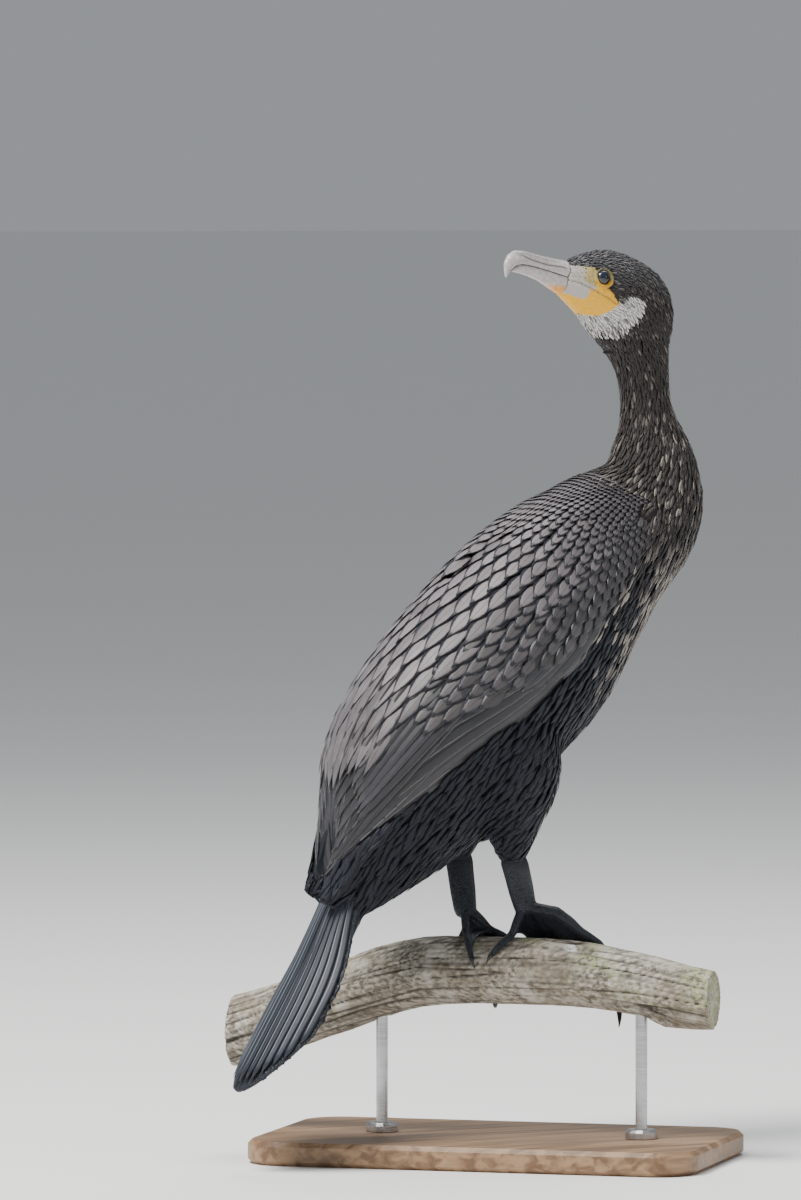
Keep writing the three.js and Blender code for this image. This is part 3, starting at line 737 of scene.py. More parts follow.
def skin_colour(points: Array, normals: Array) -> Array:
    """Colour of the skin, with the bare face, the ring round the eye and the legs."""
    local = to_head(points)
    x, z = local[..., 0], local[..., 2]
    colour = head_colour(points, normals)
    on_head = (x > -60) & (points[..., 2] > 0.53)
    lores = on_head & inside(LORES, x, z)
    mouth_z = np.interp(x, MOUTH_X, MOUTH_Z)
    gular = on_head & inside(GULAR, x, z)
    ramus = on_head & inside(RAMUS, x, z)
    ring = on_head & (eye_distance(local) < 7.0)
    fore = mix(LORE_CREAM, HORN_PALE * 0.85, ramp(8, 14, x)[..., None])
    strip = ramp(3.2, 2.2, z - mouth_z) * ramp(-4, 4, x)
    fore = mix(fore, HORN_PALE, strip[..., None])
    colour = np.where(lores[..., None], mix(GULAR_YELLOW, fore, ramp(-1, 4, x)[..., None]), colour)
    colour = np.where(gular[..., None], GULAR_YELLOW, colour)
    colour = np.where(ramus[..., None], HORN_PALE, colour)
    lower = ramp(1.0, -3.5, z - EYE_AT[2] / MM)
    colour = np.where(ring[..., None], mix(RING_OLIVE, GULAR_YELLOW * 0.75, lower[..., None]), colour)
    line = np.exp(-((z - mouth_z) / 0.45) ** 2) * ramp(-18.5, -15.5, x) * on_head
    colour = mix(colour, MOUTH_BROWN, (0.75 * line)[..., None])
    leg = ramp(LEG_FEATHERED_Z, LEG_BARE_Z, points[..., 2])
    return mix(colour, LEG_BLACK, leg[..., None])


@dataclass
class Skin:
    """The one seamless skin of body, head, legs and feet, and the forms that carry the feathers.

    Attributes:
        nodes: the model's nodes by name.
    """

    nodes: dict[str, bpy.types.Object]
    body_form: Form = field(init=False)
    head_form: Form = field(init=False)

    BODY = ("trunk", "neck_lower", "neck_middle", "neck_upper", "wing_left", "wing_right", "thigh_left",
            "thigh_right")
    HEAD = ("head", "neck_upper")
    LEGS = ("shank_left", "shank_right", "foot_left", "foot_right", "thigh_left", "thigh_right")

    # Swell, voxel size and smoothing rounds of each part.
    BODY_MESH = (1.3 * MM, 2.6 * MM, 4)
    HEAD_MESH = (0.5 * MM, 0.95 * MM, 3)
    LEG_MESH = (0.45 * MM, 0.95 * MM, 2)
    TAIL_MESH = (0.4 * MM, 1.2 * MM, 3)

    # Depth of the skin below the feathers' form, in millimetres.
    BELLY_DEPTH = 2.6
    NECK_DEPTH = 1.4
    WING_DEPTH = 4.6
    WING_TIP_DEPTH = 2.6
    HEAD_DEPTH = 0.75
    LEG_DEPTH = 0.15
    TAIL_DEPTH = 0.25

    # Heights in metres between which the upper leg narrows to a core, and where its top is drawn down.
    CORE_FROM = 0.198
    CORE_TO = 0.222

    # Millimetres of the tail's root that are stretched, and how far they go into the rump.
    ROOT_PART = 16
    ROOT_REACH = 26

    def part(self, names: tuple[str, ...], name: str, swell: float, voxel: float,
             rounds: int) -> bpy.types.Object:
        """One closed shape around some of the nodes.

        Args:
            names: the nodes.
            name: the new object's name.
            swell: how far the nodes grow first to close the gaps between them.
            voxel: size of the remesh.
            rounds: smoothing passes.

        Returns:
            The remeshed object, back at the nodes' own size.
        """
        piece = copy_of([self.nodes[n] for n in names], name)
        apply_modifier(piece, "DISPLACE", strength=swell, mid_level=0.0)
        apply_modifier(piece, "REMESH", mode="VOXEL", voxel_size=voxel)
        apply_modifier(piece, "SMOOTH", factor=0.5, iterations=rounds)
        set_vertices(piece, vertices_of(piece) - normals_of(piece) * swell)
        return piece

    def relax(self, piece: bpy.types.Object) -> None:
        """Evens out the furrows between the wings and round the tops of the thighs."""
        points = vertices_of(piece)
        aft, turn = body_place(points)
        z = points[:, 2]
        back = (aft > 5) & (aft < 262) & (turn < 42) & (z < 0.45)
        thigh = (z > 0.225) & (z < 0.335) & (turn > low_edge(aft) + 3)
        group = piece.vertex_groups.new(name="relaxed")
        group.add(np.flatnonzero(back | thigh).tolist(), 1.0, "REPLACE")
        apply_modifier(piece, "SMOOTH", factor=0.5, iterations=26, vertex_group="relaxed")
        piece.vertex_groups.clear()

    def shape_head(self, piece: bpy.types.Object) -> None:
        """Adds the lids, the slit of the mouth and the folds of the throat."""
        points, normals = vertices_of(piece), normals_of(piece)
        local = to_head(points)
        around = eye_distance(local)
        lid = np.exp(-((around - 6.1) / 0.75) ** 2) * 0.75 - np.exp(-((around - 7.9) / 0.8) ** 2) * 0.25
        lid *= np.abs(local[:, 1]) > 8
        x, z = local[:, 0], local[:, 2]
        mouth_z = np.interp(x, MOUTH_X, MOUTH_Z)
        slit = np.exp(-((z - mouth_z) / 0.55) ** 2) * ramp(-19, -15, x)
        folds = np.sin(x * 1.1 + z * 2.3) * inside(GULAR, x, z) * (~inside(RAMUS, x, z))
        brow = np.exp(-(((x - 2) / 9) ** 2 + ((z - 6.5) / 2.2) ** 2)) * 0.6
        rise = lid - slit * 0.7 * (np.abs(local[:, 1]) > 3) + folds * 0.10 + brow
        set_vertices(piece, points + normals * (rise * MM)[:, None])

    def tuck_in(self, points: Array) -> Array:
        """Draws the upper legs in to a core, so that only their lower ends meet the thighs' own shape."""
        moved = points.copy()
        for side in Side:
            mine = points[:, 1] * side.value > 0
            ankle = mine & (points[:, 2] > ANKLE_Z) & (points[:, 2] < ANKLE_Z + 6 * MM)
            core = points[ankle, :2].mean(axis=0)
            keep = 1 - 0.80 * ramp(self.CORE_FROM, self.CORE_TO, points[mine, 2])
            moved[mine, :2] = core + (points[mine, :2] - core) * keep[:, None]
        high = points[:, 2] > self.CORE_TO
        moved[high, 2] = self.CORE_TO + (points[high, 2] - self.CORE_TO) * 0.2
        return moved

    def root_in(self, points: Array) -> Array:
        """Stretches the tail's root forward into the rump, so that the two are one skin."""
        along = (points - TAIL_ROOT) @ TAIL_WAY
        aside = np.abs(points[:, 1]) / MM
        pull = ramp(self.ROOT_PART * MM, 0.0, along)
        moved = points - np.outer(pull * self.ROOT_REACH * MM, TAIL_WAY)
        moved[:, 1] *= 1 - 0.35 * pull * ramp(4, 10, aside)
        return moved

    def sink_body(self, points: Array, normals: Array) -> Array:
        """Draws the trunk and neck in by the depth of their feathers, most under the wings and in the head."""
        z = points[:, 2]
        depth = mix(self.BELLY_DEPTH, self.NECK_DEPTH, ramp(0.36, 0.45, z)) + 6.5 * ramp(0.555, 0.585, z)
        aft, turn = body_place(points)
        wing = (z < 0.45) & (turn < low_edge(aft) - 2) & (aft > 0)
        depth = np.where(wing, mix(self.WING_DEPTH, self.WING_TIP_DEPTH, ramp(240, 285, aft)), depth)
        return points - normals * (depth * MM)[:, None]

    def sink_head(self, points: Array, normals: Array) -> Array:
        """Draws the feathered head in, and its neck to a core that ends inside the body's own neck."""
        sunk = np.where(bare(points), 0.0, self.HEAD_DEPTH)
        moved = points - normals * (sunk * MM)[:, None]
        core = points[points[:, 2] < 0.549, :2].mean(axis=0)
        keep = 1 - 0.42 * ramp(0.562, 0.546, points[:, 2])
        moved[:, :2] = core + (moved[:, :2] - core) * keep[:, None]
        return moved

    def paint(self, body: bpy.types.Object) -> None:
        """Stores the skin's colours and where it is leg, bare face and lores."""
        points = vertices_of(body)
        set_tint(body, "tint", skin_colour(points, normals_of(body)))
        local = to_head(points)
        high = points[:, 2] > HEAD_Z
        set_value(body, "leg", ramp(LEG_FEATHERED_Z, LEG_BARE_Z, points[:, 2]))
        set_value(body, "face", np.where(bare(points) & high, 1.0, 0.0))
        set_value(body, "lore", np.where(inside(LORES, local[:, 0], local[:, 2]) & high, 1.0, 0.0))

    def build(self) -> bpy.types.Object:
        """Makes the forms and the skin.

        Returns:
            The skin.
        """
        body = self.part(self.BODY, "skin", *self.BODY_MESH)
        self.relax(body)
        outer = self.part((*self.BODY, "tail", "head"), "body_form", *self.BODY_MESH)
        self.relax(outer)
        self.body_form = Form(outer)
        head = self.part(self.HEAD, "skin_head", *self.HEAD_MESH)
        self.shape_head(head)
        crown = self.part((*self.HEAD, "neck_middle"), "head_form", *self.HEAD_MESH)
        self.shape_head(crown)
        self.head_form = Form(crown)
        legs = self.part(self.LEGS, "skin_legs", *self.LEG_MESH)
        rump = self.part(("tail",), "skin_tail", *self.TAIL_MESH)
        for form in (self.body_form, self.head_form):
            form.obj.hide_render = True
        set_vertices(body, self.sink_body(vertices_of(body), normals_of(body)))
        set_vertices(head, self.sink_head(vertices_of(head), normals_of(head)))
        set_vertices(legs, self.tuck_in(vertices_of(legs) - normals_of(legs) * self.LEG_DEPTH * MM))
        set_vertices(rump, self.root_in(vertices_of(rump) - normals_of(rump) * self.TAIL_DEPTH * MM))
        for other in (head, legs, rump):
            apply_modifier(body, "BOOLEAN", operation="UNION", solver="MANIFOLD", object=other)
            bpy.data.objects.remove(other)
        drop_crumbs(body)
        self.paint(body)
        smooth_shade(body)
        return body


@dataclass
class Tract:
    """Small feathers spread over part of a form.

    Attributes:
        name: the piece's name.
        form: what they lie on.
        keep: which points belong.
        gap: distance between roots at a point, in metres.
        paint: gives each feather's vane, rim and shaft colours.
        lie: gives the direction the feathers lie in.
        lift: heights of root and tip over the form, in millimetres.
        seed: start of the random draws.
        stretch: length of a feather over the gap.
        breadth: width of a feather over the gap.
        tip: pointedness of the end.
        rows: points along each feather.
    """

    name: str
    form: Form
    keep: Rule
    gap: Rule
    paint: Callable[[Array, Array, np.random.Generator], tuple[Array, Array, Array]]
    lie: Rule
    lift: tuple[float, float]
    seed: int
    stretch: float
    breadth: float
    tip: float
    rows: int

    GRID = 300

    def build(self) -> bpy.types.Object:
        """Spreads, lays and meshes the feathers.

        Returns:
            The joined piece.
        """
        rng = np.random.default_rng(self.seed)
        roots, normals = self.form.scatter(self.keep, self.gap, rng)
        gap = self.gap(roots)
        ways = self.lie(roots) + rng.normal(0, 0.10, roots.shape)
        lengths = gap * self.stretch * rng.uniform(0.85, 1.15, len(roots))
        low = np.full(len(roots), self.lift[0] * MM)
        high = self.lift[1] * MM + rng.uniform(-0.15, 0.15, len(roots)) * gap
        paths, ups = lay(self.form, roots, normals, ways, lengths, self.rows, low, high)
        tint, rim, shaft = self.paint(roots, normals, rng)
        blades = Blades(paths, ups, gap * self.breadth * rng.uniform(0.9, 1.1, len(roots)),
                        vane_outline(self.rows, 0.35, 0.5, self.tip), np.array([0, 0.5, 1.0]), gap * 0.07,
                        tint, rim, shaft)
        return blades.build(self.name, bake_cells(roots, self.GRID), np.full((len(roots), 2), 1 / self.GRID))


def lie_body(points: Array) -> Array:
    """Direction of the feathers on neck and trunk: down the neck and aft along the trunk."""
    dx = np.gradient(SPINE_X, SPINE_Z)
    slope = np.interp(points[:, 2], SPINE_Z, dx)
    ways = np.stack([-slope, np.zeros(len(points)), -np.ones(len(points))], axis=1)
    return unit(ways)


def lie_head(points: Array) -> Array:
    """Direction of the feathers on the head: away from the bill, then down the nape and throat."""
    local = to_head(points)
    down = -0.10 - ramp(-8, -60, local[:, 0]) * 1.6 - 0.35 * ramp(-14, -30, local[:, 2])
    back = unit(np.stack([-np.ones(len(points)), np.zeros(len(points)), down], axis=1))
    return back @ HEAD_AXES.T


def paint_head(points: Array, normals: Array, rng: np.random.Generator) -> tuple[Array, Array, Array]:
    """Colours of the head's feathers.

    Args:
        points: their roots.
        normals: outward directions there.
        rng: source of chance.

    Returns:
        Vane, rim and shaft colours.
    """
    tint = head_colour(points, normals) * rng.uniform(0.75, 1.25, (len(points), 1))
    light = tint[:, 0] > 0.2
    local = to_head(points)
    dull = light & (rng.random(len(points)) < mix(0.06, 0.30, ramp(-20, -30, local[:, 2])))
    tint = np.where(dull[:, None], tint * np.array([0.35, 0.32, 0.30]), tint)
    pale = ~light & (rng.random(len(points)) < 0.14)
    tint = np.where(pale[:, None], mix(tint, FLECK, 0.22), tint)
    return np.clip(tint, 0, 0.8), np.clip(tint * 0.9, 0, 0.8), np.clip(tint * 1.1, 0, 0.8)


def paint_body(points: Array, normals: Array, rng: np.random.Generator) -> tuple[Array, Array, Array]:
    """Colours of the small feathers of neck, breast, belly and thighs.

    Args:
        points: their roots.
        normals: outward directions there.
        rng: source of chance.

    Returns:
        Vane, rim and shaft colours.
    """
    tint = body_colour(points, normals) * rng.uniform(0.75, 1.3, (len(points), 1))
    share = flecks(points, normals)
    hit = (rng.random(len(points)) < share) * rng.uniform(0.25, 1.0, len(points))
    breast = ramp(0.415, 0.385, points[:, 2])[:, None]
    pale = FLECK * mix(1.0, 1.5, breast)
    rim = mix(tint * 0.8, pale * rng.uniform(0.7, 1.2, (len(points), 1)), hit[:, None])
    tint = mix(tint, pale, mix(0.28, 0.60, breast) * hit[:, None])
    return tint, rim, tint * 1.2


@dataclass
class Coverts:
    """Overlapping contour feathers in rows, as on the mantle, shoulders and wing.

    Attributes:
        back: finds places on the back and wings.
        side: which half of the body.
    """

    back: Back
    side: Side

    def rows_of(self, start: float, stop: float, step: Callable[[float], float], low: Rule, high: Rule,
                breadth: Callable[[float], float], rng: np.random.Generator) -> tuple[Array, Array]:
        """Roots of feathers in staggered rows between two lines along the body.

        Args:
            start: millimetres aft of the first row.
            stop: the last row.
            step: distance to the next row.
            low: angle where a row begins.
            high: angle where it ends.
            breadth: distance between neighbours.
            rng: source of chance.

        Returns:
            Aft and turn of each root, and the row step there.
        """
        found, steps = [], []
        aft = start
        shift = 0.0
        while aft < stop:
            first, last = float(low(np.array(aft))), float(high(np.array(aft)))
            gap = math.degrees(breadth(aft) / 66)
            turn = first + shift * gap
            while turn < last:
                found.append((aft + rng.normal(0, 0.05) * step(aft), turn + rng.normal(0, 0.06) * gap))
                steps.append(step(aft))
                turn += gap
            shift = 0.5 - shift
            aft += step(aft)
        return np.array(found), np.array(steps)

    def blades(self, roots: Array, steps: Array, longer: float, wider: float, lift: tuple[float, float],
               tint: Array, rim: Array, shaft: Array, tip: float, drift: float) -> Blades:
        """Feathers from roots toward the tail.

        Args:
            roots: aft and turn of each root.
            steps: row step at each root, in millimetres.
            longer: length over the row step.
            wider: width of each feather over its row step.
            lift: heights of root and tip, in millimetres.
            tint: vane colours.
            rim: rim colours.
            shaft: shaft colours.
            tip: pointedness.
            drift: how far the tip keeps its share of the way to the wing's edge, 1 for fully.

        Returns:
            The feathers, not yet meshed.
        """
        sign = self.side.value
        ends = roots.copy()
        ends[:, 0] += steps * longer
        share = low_edge(ends[:, 0]) / np.maximum(low_edge(roots[:, 0]), 1)
        ends[:, 1] = roots[:, 1] * mix(1.0, np.clip(share, 0.4, 1.15), drift)
        flip = np.array([1.0, sign])
        paths, ups = self.back.vanes(roots * flip, ends * flip, 9)
        ease(paths, ups, 2)
        v = np.linspace(0, 1, 9)
        height = mix(lift[0], lift[1], v**0.8) * MM
        paths = paths + ups * height[None, :, None]
        return Blades(paths, ups, steps * wider * MM, vane_outline(9, 0.55, 0.48, tip),
                      np.array([0, 0.25, 0.5, 0.75, 1.0]), steps * 0.05 * MM, tint, rim, shaft)


VANE_COLOURS = {
    "scapular": np.array([0.158, 0.140, 0.146]),
    "covert": np.array([0.070, 0.063, 0.065]),
    "quill": np.array([0.036, 0.036, 0.041]),
    "tertial": np.array([0.130, 0.120, 0.128]),
}
MANTLE_BROWN = np.array([0.090, 0.080, 0.086])
RIM_BLACK = np.array([0.016, 0.017, 0.022])
# Pale colour mixed into the long feathers' rims as a painted highlight along their edges.
RIM_PAINTED_HIGHLIGHT = np.array([0.24, 0.22, 0.21])


def wing_paint(roots: Array, rng: np.random.Generator, kind: str) -> tuple[Array, Array, Array]:
    """Colours of the contour feathers of back and wing, with painted light and shade on the scapulars and a
    painted highlight on the long feathers' rims.

    Args:
        roots: aft and turn of each feather.
        rng: source of chance.
        kind: "scapular", "covert", "quill" or "tertial".

    Returns:
        Vane, rim and shaft colours.
    """
    tint = VANE_COLOURS[kind] * rng.uniform(0.72, 1.28, (len(roots), 1))
    if kind == "scapular":
        fine = ramp(45, 0, roots[:, 0])[:, None]
        tint = mix(tint, MANTLE_BROWN, 0.75 * fine)
        # Painted light and shade: the scapulars are lighter along the back line and darker down the sides and
        # aft.
        tint = tint * mix(1.0, 0.72, ramp(150, 240, roots[:, 0]))[:, None]
        tint = tint * mix(1.12, 0.66, ramp(18, 55, roots[:, 1]))[:, None]
    rim = RIM_BLACK * rng.uniform(0.8, 1.4, (len(roots), 1))
    if kind in ("quill", "tertial"):
        # The long feathers' rims are mixed toward pale: a painted highlight along their edges.
        rim = mix(tint * 0.5, RIM_PAINTED_HIGHLIGHT, 0.40)
    return tint, rim, tint * 0.35


# Where the columns of a long feather stand across its vane, closer by the shaft.
QUILL_COLUMNS = np.array([0, 0.2, 0.4, 0.5, 0.6, 0.8, 1.0])


@dataclass(frozen=True)
class QuillRow:
    """One row of long wing feathers, from the wing's edge inward.

    Attributes:
        kind: how the vanes are coloured.
        edge: shares of the way to the wing's lower edge of the first and last feather.
        count: how many feathers.
        hold: part of those shares that the first and last tip keep.
        root: millimetres aft of the first and last root.
        tip: millimetres aft of the first and last tip.
        width: width of a vane, in millimetres.
        lift: heights of root and tip over the form, in millimetres.
        rise: how much higher each feather lies than the one before, in millimetres.
    """

    kind: str
    edge: tuple[float, float]
    count: int
    hold: tuple[float, float]
    root: tuple[float, float]
    tip: tuple[float, float]
    width: float
    lift: tuple[float, float]
    rise: float

    ROWS = 14
    RIDGE = 0.5
    TILT = 0.55

    def build(self, back: Back, side: Side, rng: np.random.Generator) -> Blades:
        """Lays the row on one wing.

        Args:
            back: finds places on the wing.
            side: which wing.
            rng: source of chance.

        Returns:
            The feathers, not yet meshed.
        """
        spread = np.linspace(0, 1, self.count)
        root = mix(self.root[0], self.root[1], spread)
        tip = mix(self.tip[0], self.tip[1], spread) + rng.normal(0, 1.2, self.count)
        v = np.linspace(0, 1, self.ROWS)[None, :]
        aft = root[:, None] * (1 - v) + tip[:, None] * v
        hold = mix(1.0, mix(self.hold[0], self.hold[1], spread)[:, None], v**2)
        shares = np.linspace(self.edge[0], self.edge[1], self.count)
        turn = side.value * shares[:, None] * hold * low_edge(aft)
        spots, ups = back.place(aft, turn)
        ease(spots, ups, 2)
        height = (mix(self.lift[0], self.lift[1], v) + self.rise * np.arange(self.count)[:, None]) * MM
        places = np.stack([root, np.zeros(self.count)], axis=1)
        tint, rim, shaft = wing_paint(places, rng, self.kind)
        return Blades(spots + ups * height[..., None], ups, np.full(self.count, self.width * MM),
                      vane_outline(self.ROWS, 0.6, 0.6, 0.55), QUILL_COLUMNS,
                      np.full(self.count, self.RIDGE * MM), tint, rim, shaft, side.value * self.TILT * MM)


# Primaries, the filling below their tips, secondaries, greater coverts, and the long inner feathers.
QUILL_ROWS = (
    QuillRow("quill", (0.985, 0.66), 8, (0.92, 0.07), (60, 90), (334, 279), 12.5, (-3.6, -1.0), 0.14),
    QuillRow("quill", (0.78, 0.05), 8, (1.0, 1.0), (190, 190), (316, 334), 13.0, (-3.6, -1.5), 0.02),
    QuillRow("quill", (0.64, 0.38), 6, (1.0, 0.90), (110, 140), (288, 272), 12.5, (-3.0, -0.6), 0.14),
    QuillRow("quill", (0.99, 0.44), 15, (1.0, 1.0), (10, 130), (120, 226), 10.5, (-3.0, -0.8), 0.02),
    QuillRow("tertial", (0.34, 0.05), 4, (1.0, 1.0), (130, 130), (262, 276), 18.0, (-2.6, 0.3), 0.30),
)


@dataclass
class Plumage:
    """All feathers of the body, each tract one joined piece.

    Attributes:
        skin: carries the forms.
    """

    skin: Skin
    back: Back = field(init=False)

    def __post_init__(self) -> None:
        """Sets up the places on the back."""
        self.back = Back(self.skin.body_form)

    def on_wing(self, points: Array) -> Array:
        """Which points of the body lie under the large feathers of back and wings."""
        aft, turn = body_place(points)
        high = points[:, 2] < 0.475
        return high & (aft > -8) & (aft < 345) & (turn < low_edge(aft) - 3)

    def on_tail(self, points: Array) -> Array:
        """Which points lie on the quills of the tail."""
        along = (points - TAIL_ROOT) @ TAIL_WAY / MM
        above = (points - TAIL_ROOT) @ TAIL_UP / MM
        return (along > 84) | ((along > 18) & (above > -1))

    def small(self) -> list[bpy.types.Object]:
        """The tracts of small scattered feathers."""
        body, head = self.skin.body_form, self.skin.head_form

        def keep_head(points: Array) -> Array:
            """Feathered head and upper neck."""
            local = to_head(points)
            clear = (eye_distance(local) > 7.1) & (local[:, 0] < 24)
            return (points[:, 2] > 0.552) & ~bare(points) & clear

        def gap_head(points: Array) -> Array:
            """Finest round the face."""
            return mix(1.45, 2.1, ramp(-25, -60, to_head(points)[:, 0])) * MM

        def keep_neck(points: Array) -> Array:
            """From below the head to the shoulders."""
            local = to_head(points)
            white = inside(WHITE, local[:, 0], local[:, 2])
            return (points[:, 2] > 0.425) & (points[:, 2] < 0.566) & ~self.on_wing(points) & ~white

        def gap_neck(points: Array) -> Array:
            """Coarser toward the body."""
            return mix(2.7, 1.7, ramp(0.45, 0.55, points[:, 2])) * MM

        def keep_front(points: Array) -> Array:
            """Breast, belly, flanks and the underside of the tail's root."""
            below = (points[:, 2] <= 0.432) & ~self.on_wing(points) & ~self.on_tail(points)
            return below & ((points[:, 2] > 0.17) | (points[:, 0] < -0.09))

        def gap_front(points: Array) -> Array:
            """Coarser toward the belly."""
            return mix(3.9, 2.8, ramp(0.28, 0.42, points[:, 2])) * MM

        return [
            Tract("feathers_head", head, keep_head, gap_head, paint_head, lie_head, (-0.55, 0.25), seed=11,
                  stretch=3.0, breadth=1.0, tip=0.5, rows=5).build(),
            Tract("feathers_neck", body, keep_neck, gap_neck, paint_body, lie_body, (-0.8, 0.10), seed=12,
                  stretch=3.8, breadth=0.95, tip=1.0, rows=5).build(),
            Tract("feathers_front", body, keep_front, gap_front, paint_body, lie_body, (-1.1, -0.05),
                  seed=13, stretch=4.0, breadth=1.1, tip=1.0, rows=6).build(),
        ]

    def joined(self, name: str, groups: list[tuple[Blades, int]]) -> bpy.types.Object:
        """Meshes groups of blades as one object.

        Args:
            name: the piece's name.
            groups: blades and how many cells their map has each way.

        Returns:
            The joined object.
        """
        made = []
        for number, (blades, grid) in enumerate(groups):
            roots = blades.paths[:, 0]
            cells = bake_cells(roots, grid)
            strip = 1 / len(groups)
            cells = np.stack([cells[:, 0], (cells[:, 1] + number) * strip], axis=1)
            patch = np.tile(np.array([1 / grid, strip / grid]), (len(roots), 1))
            made.append(blades.build(f"{name}_{number}", cells, patch))
        deselect()
        for obj in made:
            obj.select_set(True)
        bpy.context.view_layer.objects.active = made[0]
        if len(made) > 1:
            bpy.ops.object.join()
        piece = bpy.context.view_layer.objects.active
        piece.name = name
        piece.data.name = name
        deselect()
        return piece

    def scapulars(self, side: Side) -> bpy.types.Object:
        """Mantle and shoulder feathers of one side, growing toward the tail."""
        rng = np.random.default_rng(21 + side.value)
        rows = Coverts(self.back, side)

        def step(aft: float) -> float:
            """Row step in millimetres."""
            return float(np.interp(aft, [-8, 20, 60, 110, 170, 240], [3.4, 4.4, 8.5, 13.0, 17.0, 19.0]))

        def breadth(aft: float) -> float:
            """Distance between neighbours in millimetres."""
            return float(np.interp(aft, [-8, 20, 60, 110, 170, 240], [4.0, 5.2, 9.0, 11.5, 11.5, 9.0]))

        roots, steps = rows.rows_of(-14, 232, step, lambda a: 0.0 * a,
                                    lambda a: np.interp(a, SCAPULAR_AT, SCAPULAR_TURN), breadth, rng)
        wide = np.array([breadth(a) for a in roots[:, 0]]) / steps * 1.22
        tint, rim, shaft = wing_paint(roots, rng, "scapular")
        blades = rows.blades(roots, steps, 2.3, wide, (-2.4, 0.7), tint, rim, shaft, 1.7, 0.8)
        return self.joined(f"feathers_back_{side.word}", [(blades, 44)])

    def coverts(self, side: Side) -> bpy.types.Object:
        """Lesser and median wing coverts of one side."""
        rng = np.random.default_rng(31 + side.value)
        rows = Coverts(self.back, side)

        def step(aft: float) -> float:
            """Row step in millimetres."""
            return float(np.interp(aft, [5, 60, 130, 220], [4.6, 8.0, 11.0, 13.0]))

        def breadth(aft: float) -> float:
            """Distance between neighbours in millimetres."""
            return float(np.interp(aft, [5, 60, 130, 220], [5.2, 8.0, 9.5, 9.0]))

        def low(aft: Array) -> Array:
            """Angle where a row begins, under the shoulder feathers."""
            return np.interp(aft, SCAPULAR_AT, SCAPULAR_TURN) - 5

        def high(aft: Array) -> Array:
            """Angle where a row ends, short of the wing's edge."""
            return np.minimum(np.interp(aft, COVERT_AT, COVERT_TURN), low_edge(aft) - 1)

        roots, steps = rows.rows_of(2, 205, step, low, high, breadth, rng)
        wide = np.array([breadth(a) for a in roots[:, 0]]) / steps * 1.22
        tint, rim, shaft = wing_paint(roots, rng, "covert")
        blades = rows.blades(roots, steps, 2.3, wide, (-2.8, 0.2), tint, rim, shaft, 1.1, 0.9)
        return self.joined(f"feathers_wing_{side.word}", [(blades, 40)])

    def quills(self, side: Side) -> bpy.types.Object:
        """Greater coverts, secondaries, primaries and the long inner feathers of one wing."""
        rng = np.random.default_rng(41 + side.value)
        groups = [(row.build(self.back, side, rng), 8) for row in QUILL_ROWS]
        return self.joined(f"quills_wing_{side.word}", groups)


@dataclass
class Tail:
    """The fourteen stiff feathers of the tail, the middle pair on top."""

    count: int = 14
    rows: int = 16

    # Width of a vane, height of its shaft and lift of its outer edge, in millimetres.
    WIDTH = 9.5
    RIDGE = 0.8
    TILT = 0.35

    SLATE = np.array([0.020, 0.024, 0.034])
    SHAFT_GREY = np.array([0.17, 0.19, 0.22])

    def surface(self, part: Array, share: Array) -> tuple[Array, Array]:
        """The tail's upper face, the same as the model's.

        Args:
            part: share of the tail's length, from its root.
            share: place across, from -1 at the right edge to 1 at the left.

        Returns:
            Points and outward directions.
        """
        half = mix(21.0, 36.5, ramp(0, 0.7, part))
        thick = mix(9.0, 3.0, ramp(0, 0.45, part))
        arch = 14.0 * ramp(-0.3, 0.6, part)
        along = part * TAIL_LONG / MM * (1 - 0.34 * share**2)
        above = thick / 2 * (0.45 + 0.55 * np.sqrt(1 - np.abs(share) ** 3)) - arch * share**2
        spots = TAIL_ROOT + MM * (along[..., None] * TAIL_WAY + (share * half)[..., None] * LATERAL
                                  + above[..., None] * TAIL_UP)
        ups = unit(TAIL_UP + (2 * arch * share / half)[..., None] * LATERAL)
        return spots, ups

    def build(self) -> Blades:
        """The tail feathers, not yet meshed."""
        rng = np.random.default_rng(51)
        share = (np.arange(self.count) - (self.count - 1) / 2) / (self.count / 2)
        share = share[np.argsort(-np.abs(share))]
        v = np.linspace(0, 1, self.rows)[None, :]
        part = mix(0.02, 0.985 - 0.03 * rng.random((self.count, 1)), v)
        across = share[:, None] * np.ones_like(v) * 0.93
        spots, ups = self.surface(part, across)
        height = (0.10 + 0.16 * np.arange(self.count)[:, None] - 0.6 * (1 - v)) * MM
        paths = spots + ups * height[..., None]
        tint = self.SLATE * rng.uniform(0.75, 1.3, (self.count, 1))
        shaft = np.tile(self.SHAFT_GREY, (self.count, 1))
        return Blades(paths, ups, np.full(self.count, self.WIDTH * MM),
                      vane_outline(self.rows, 0.7, 0.6, 0.30), QUILL_COLUMNS,
                      np.full(self.count, self.RIDGE * MM), tint, tint * 0.35, shaft,
                      np.sign(share) * self.TILT * MM)


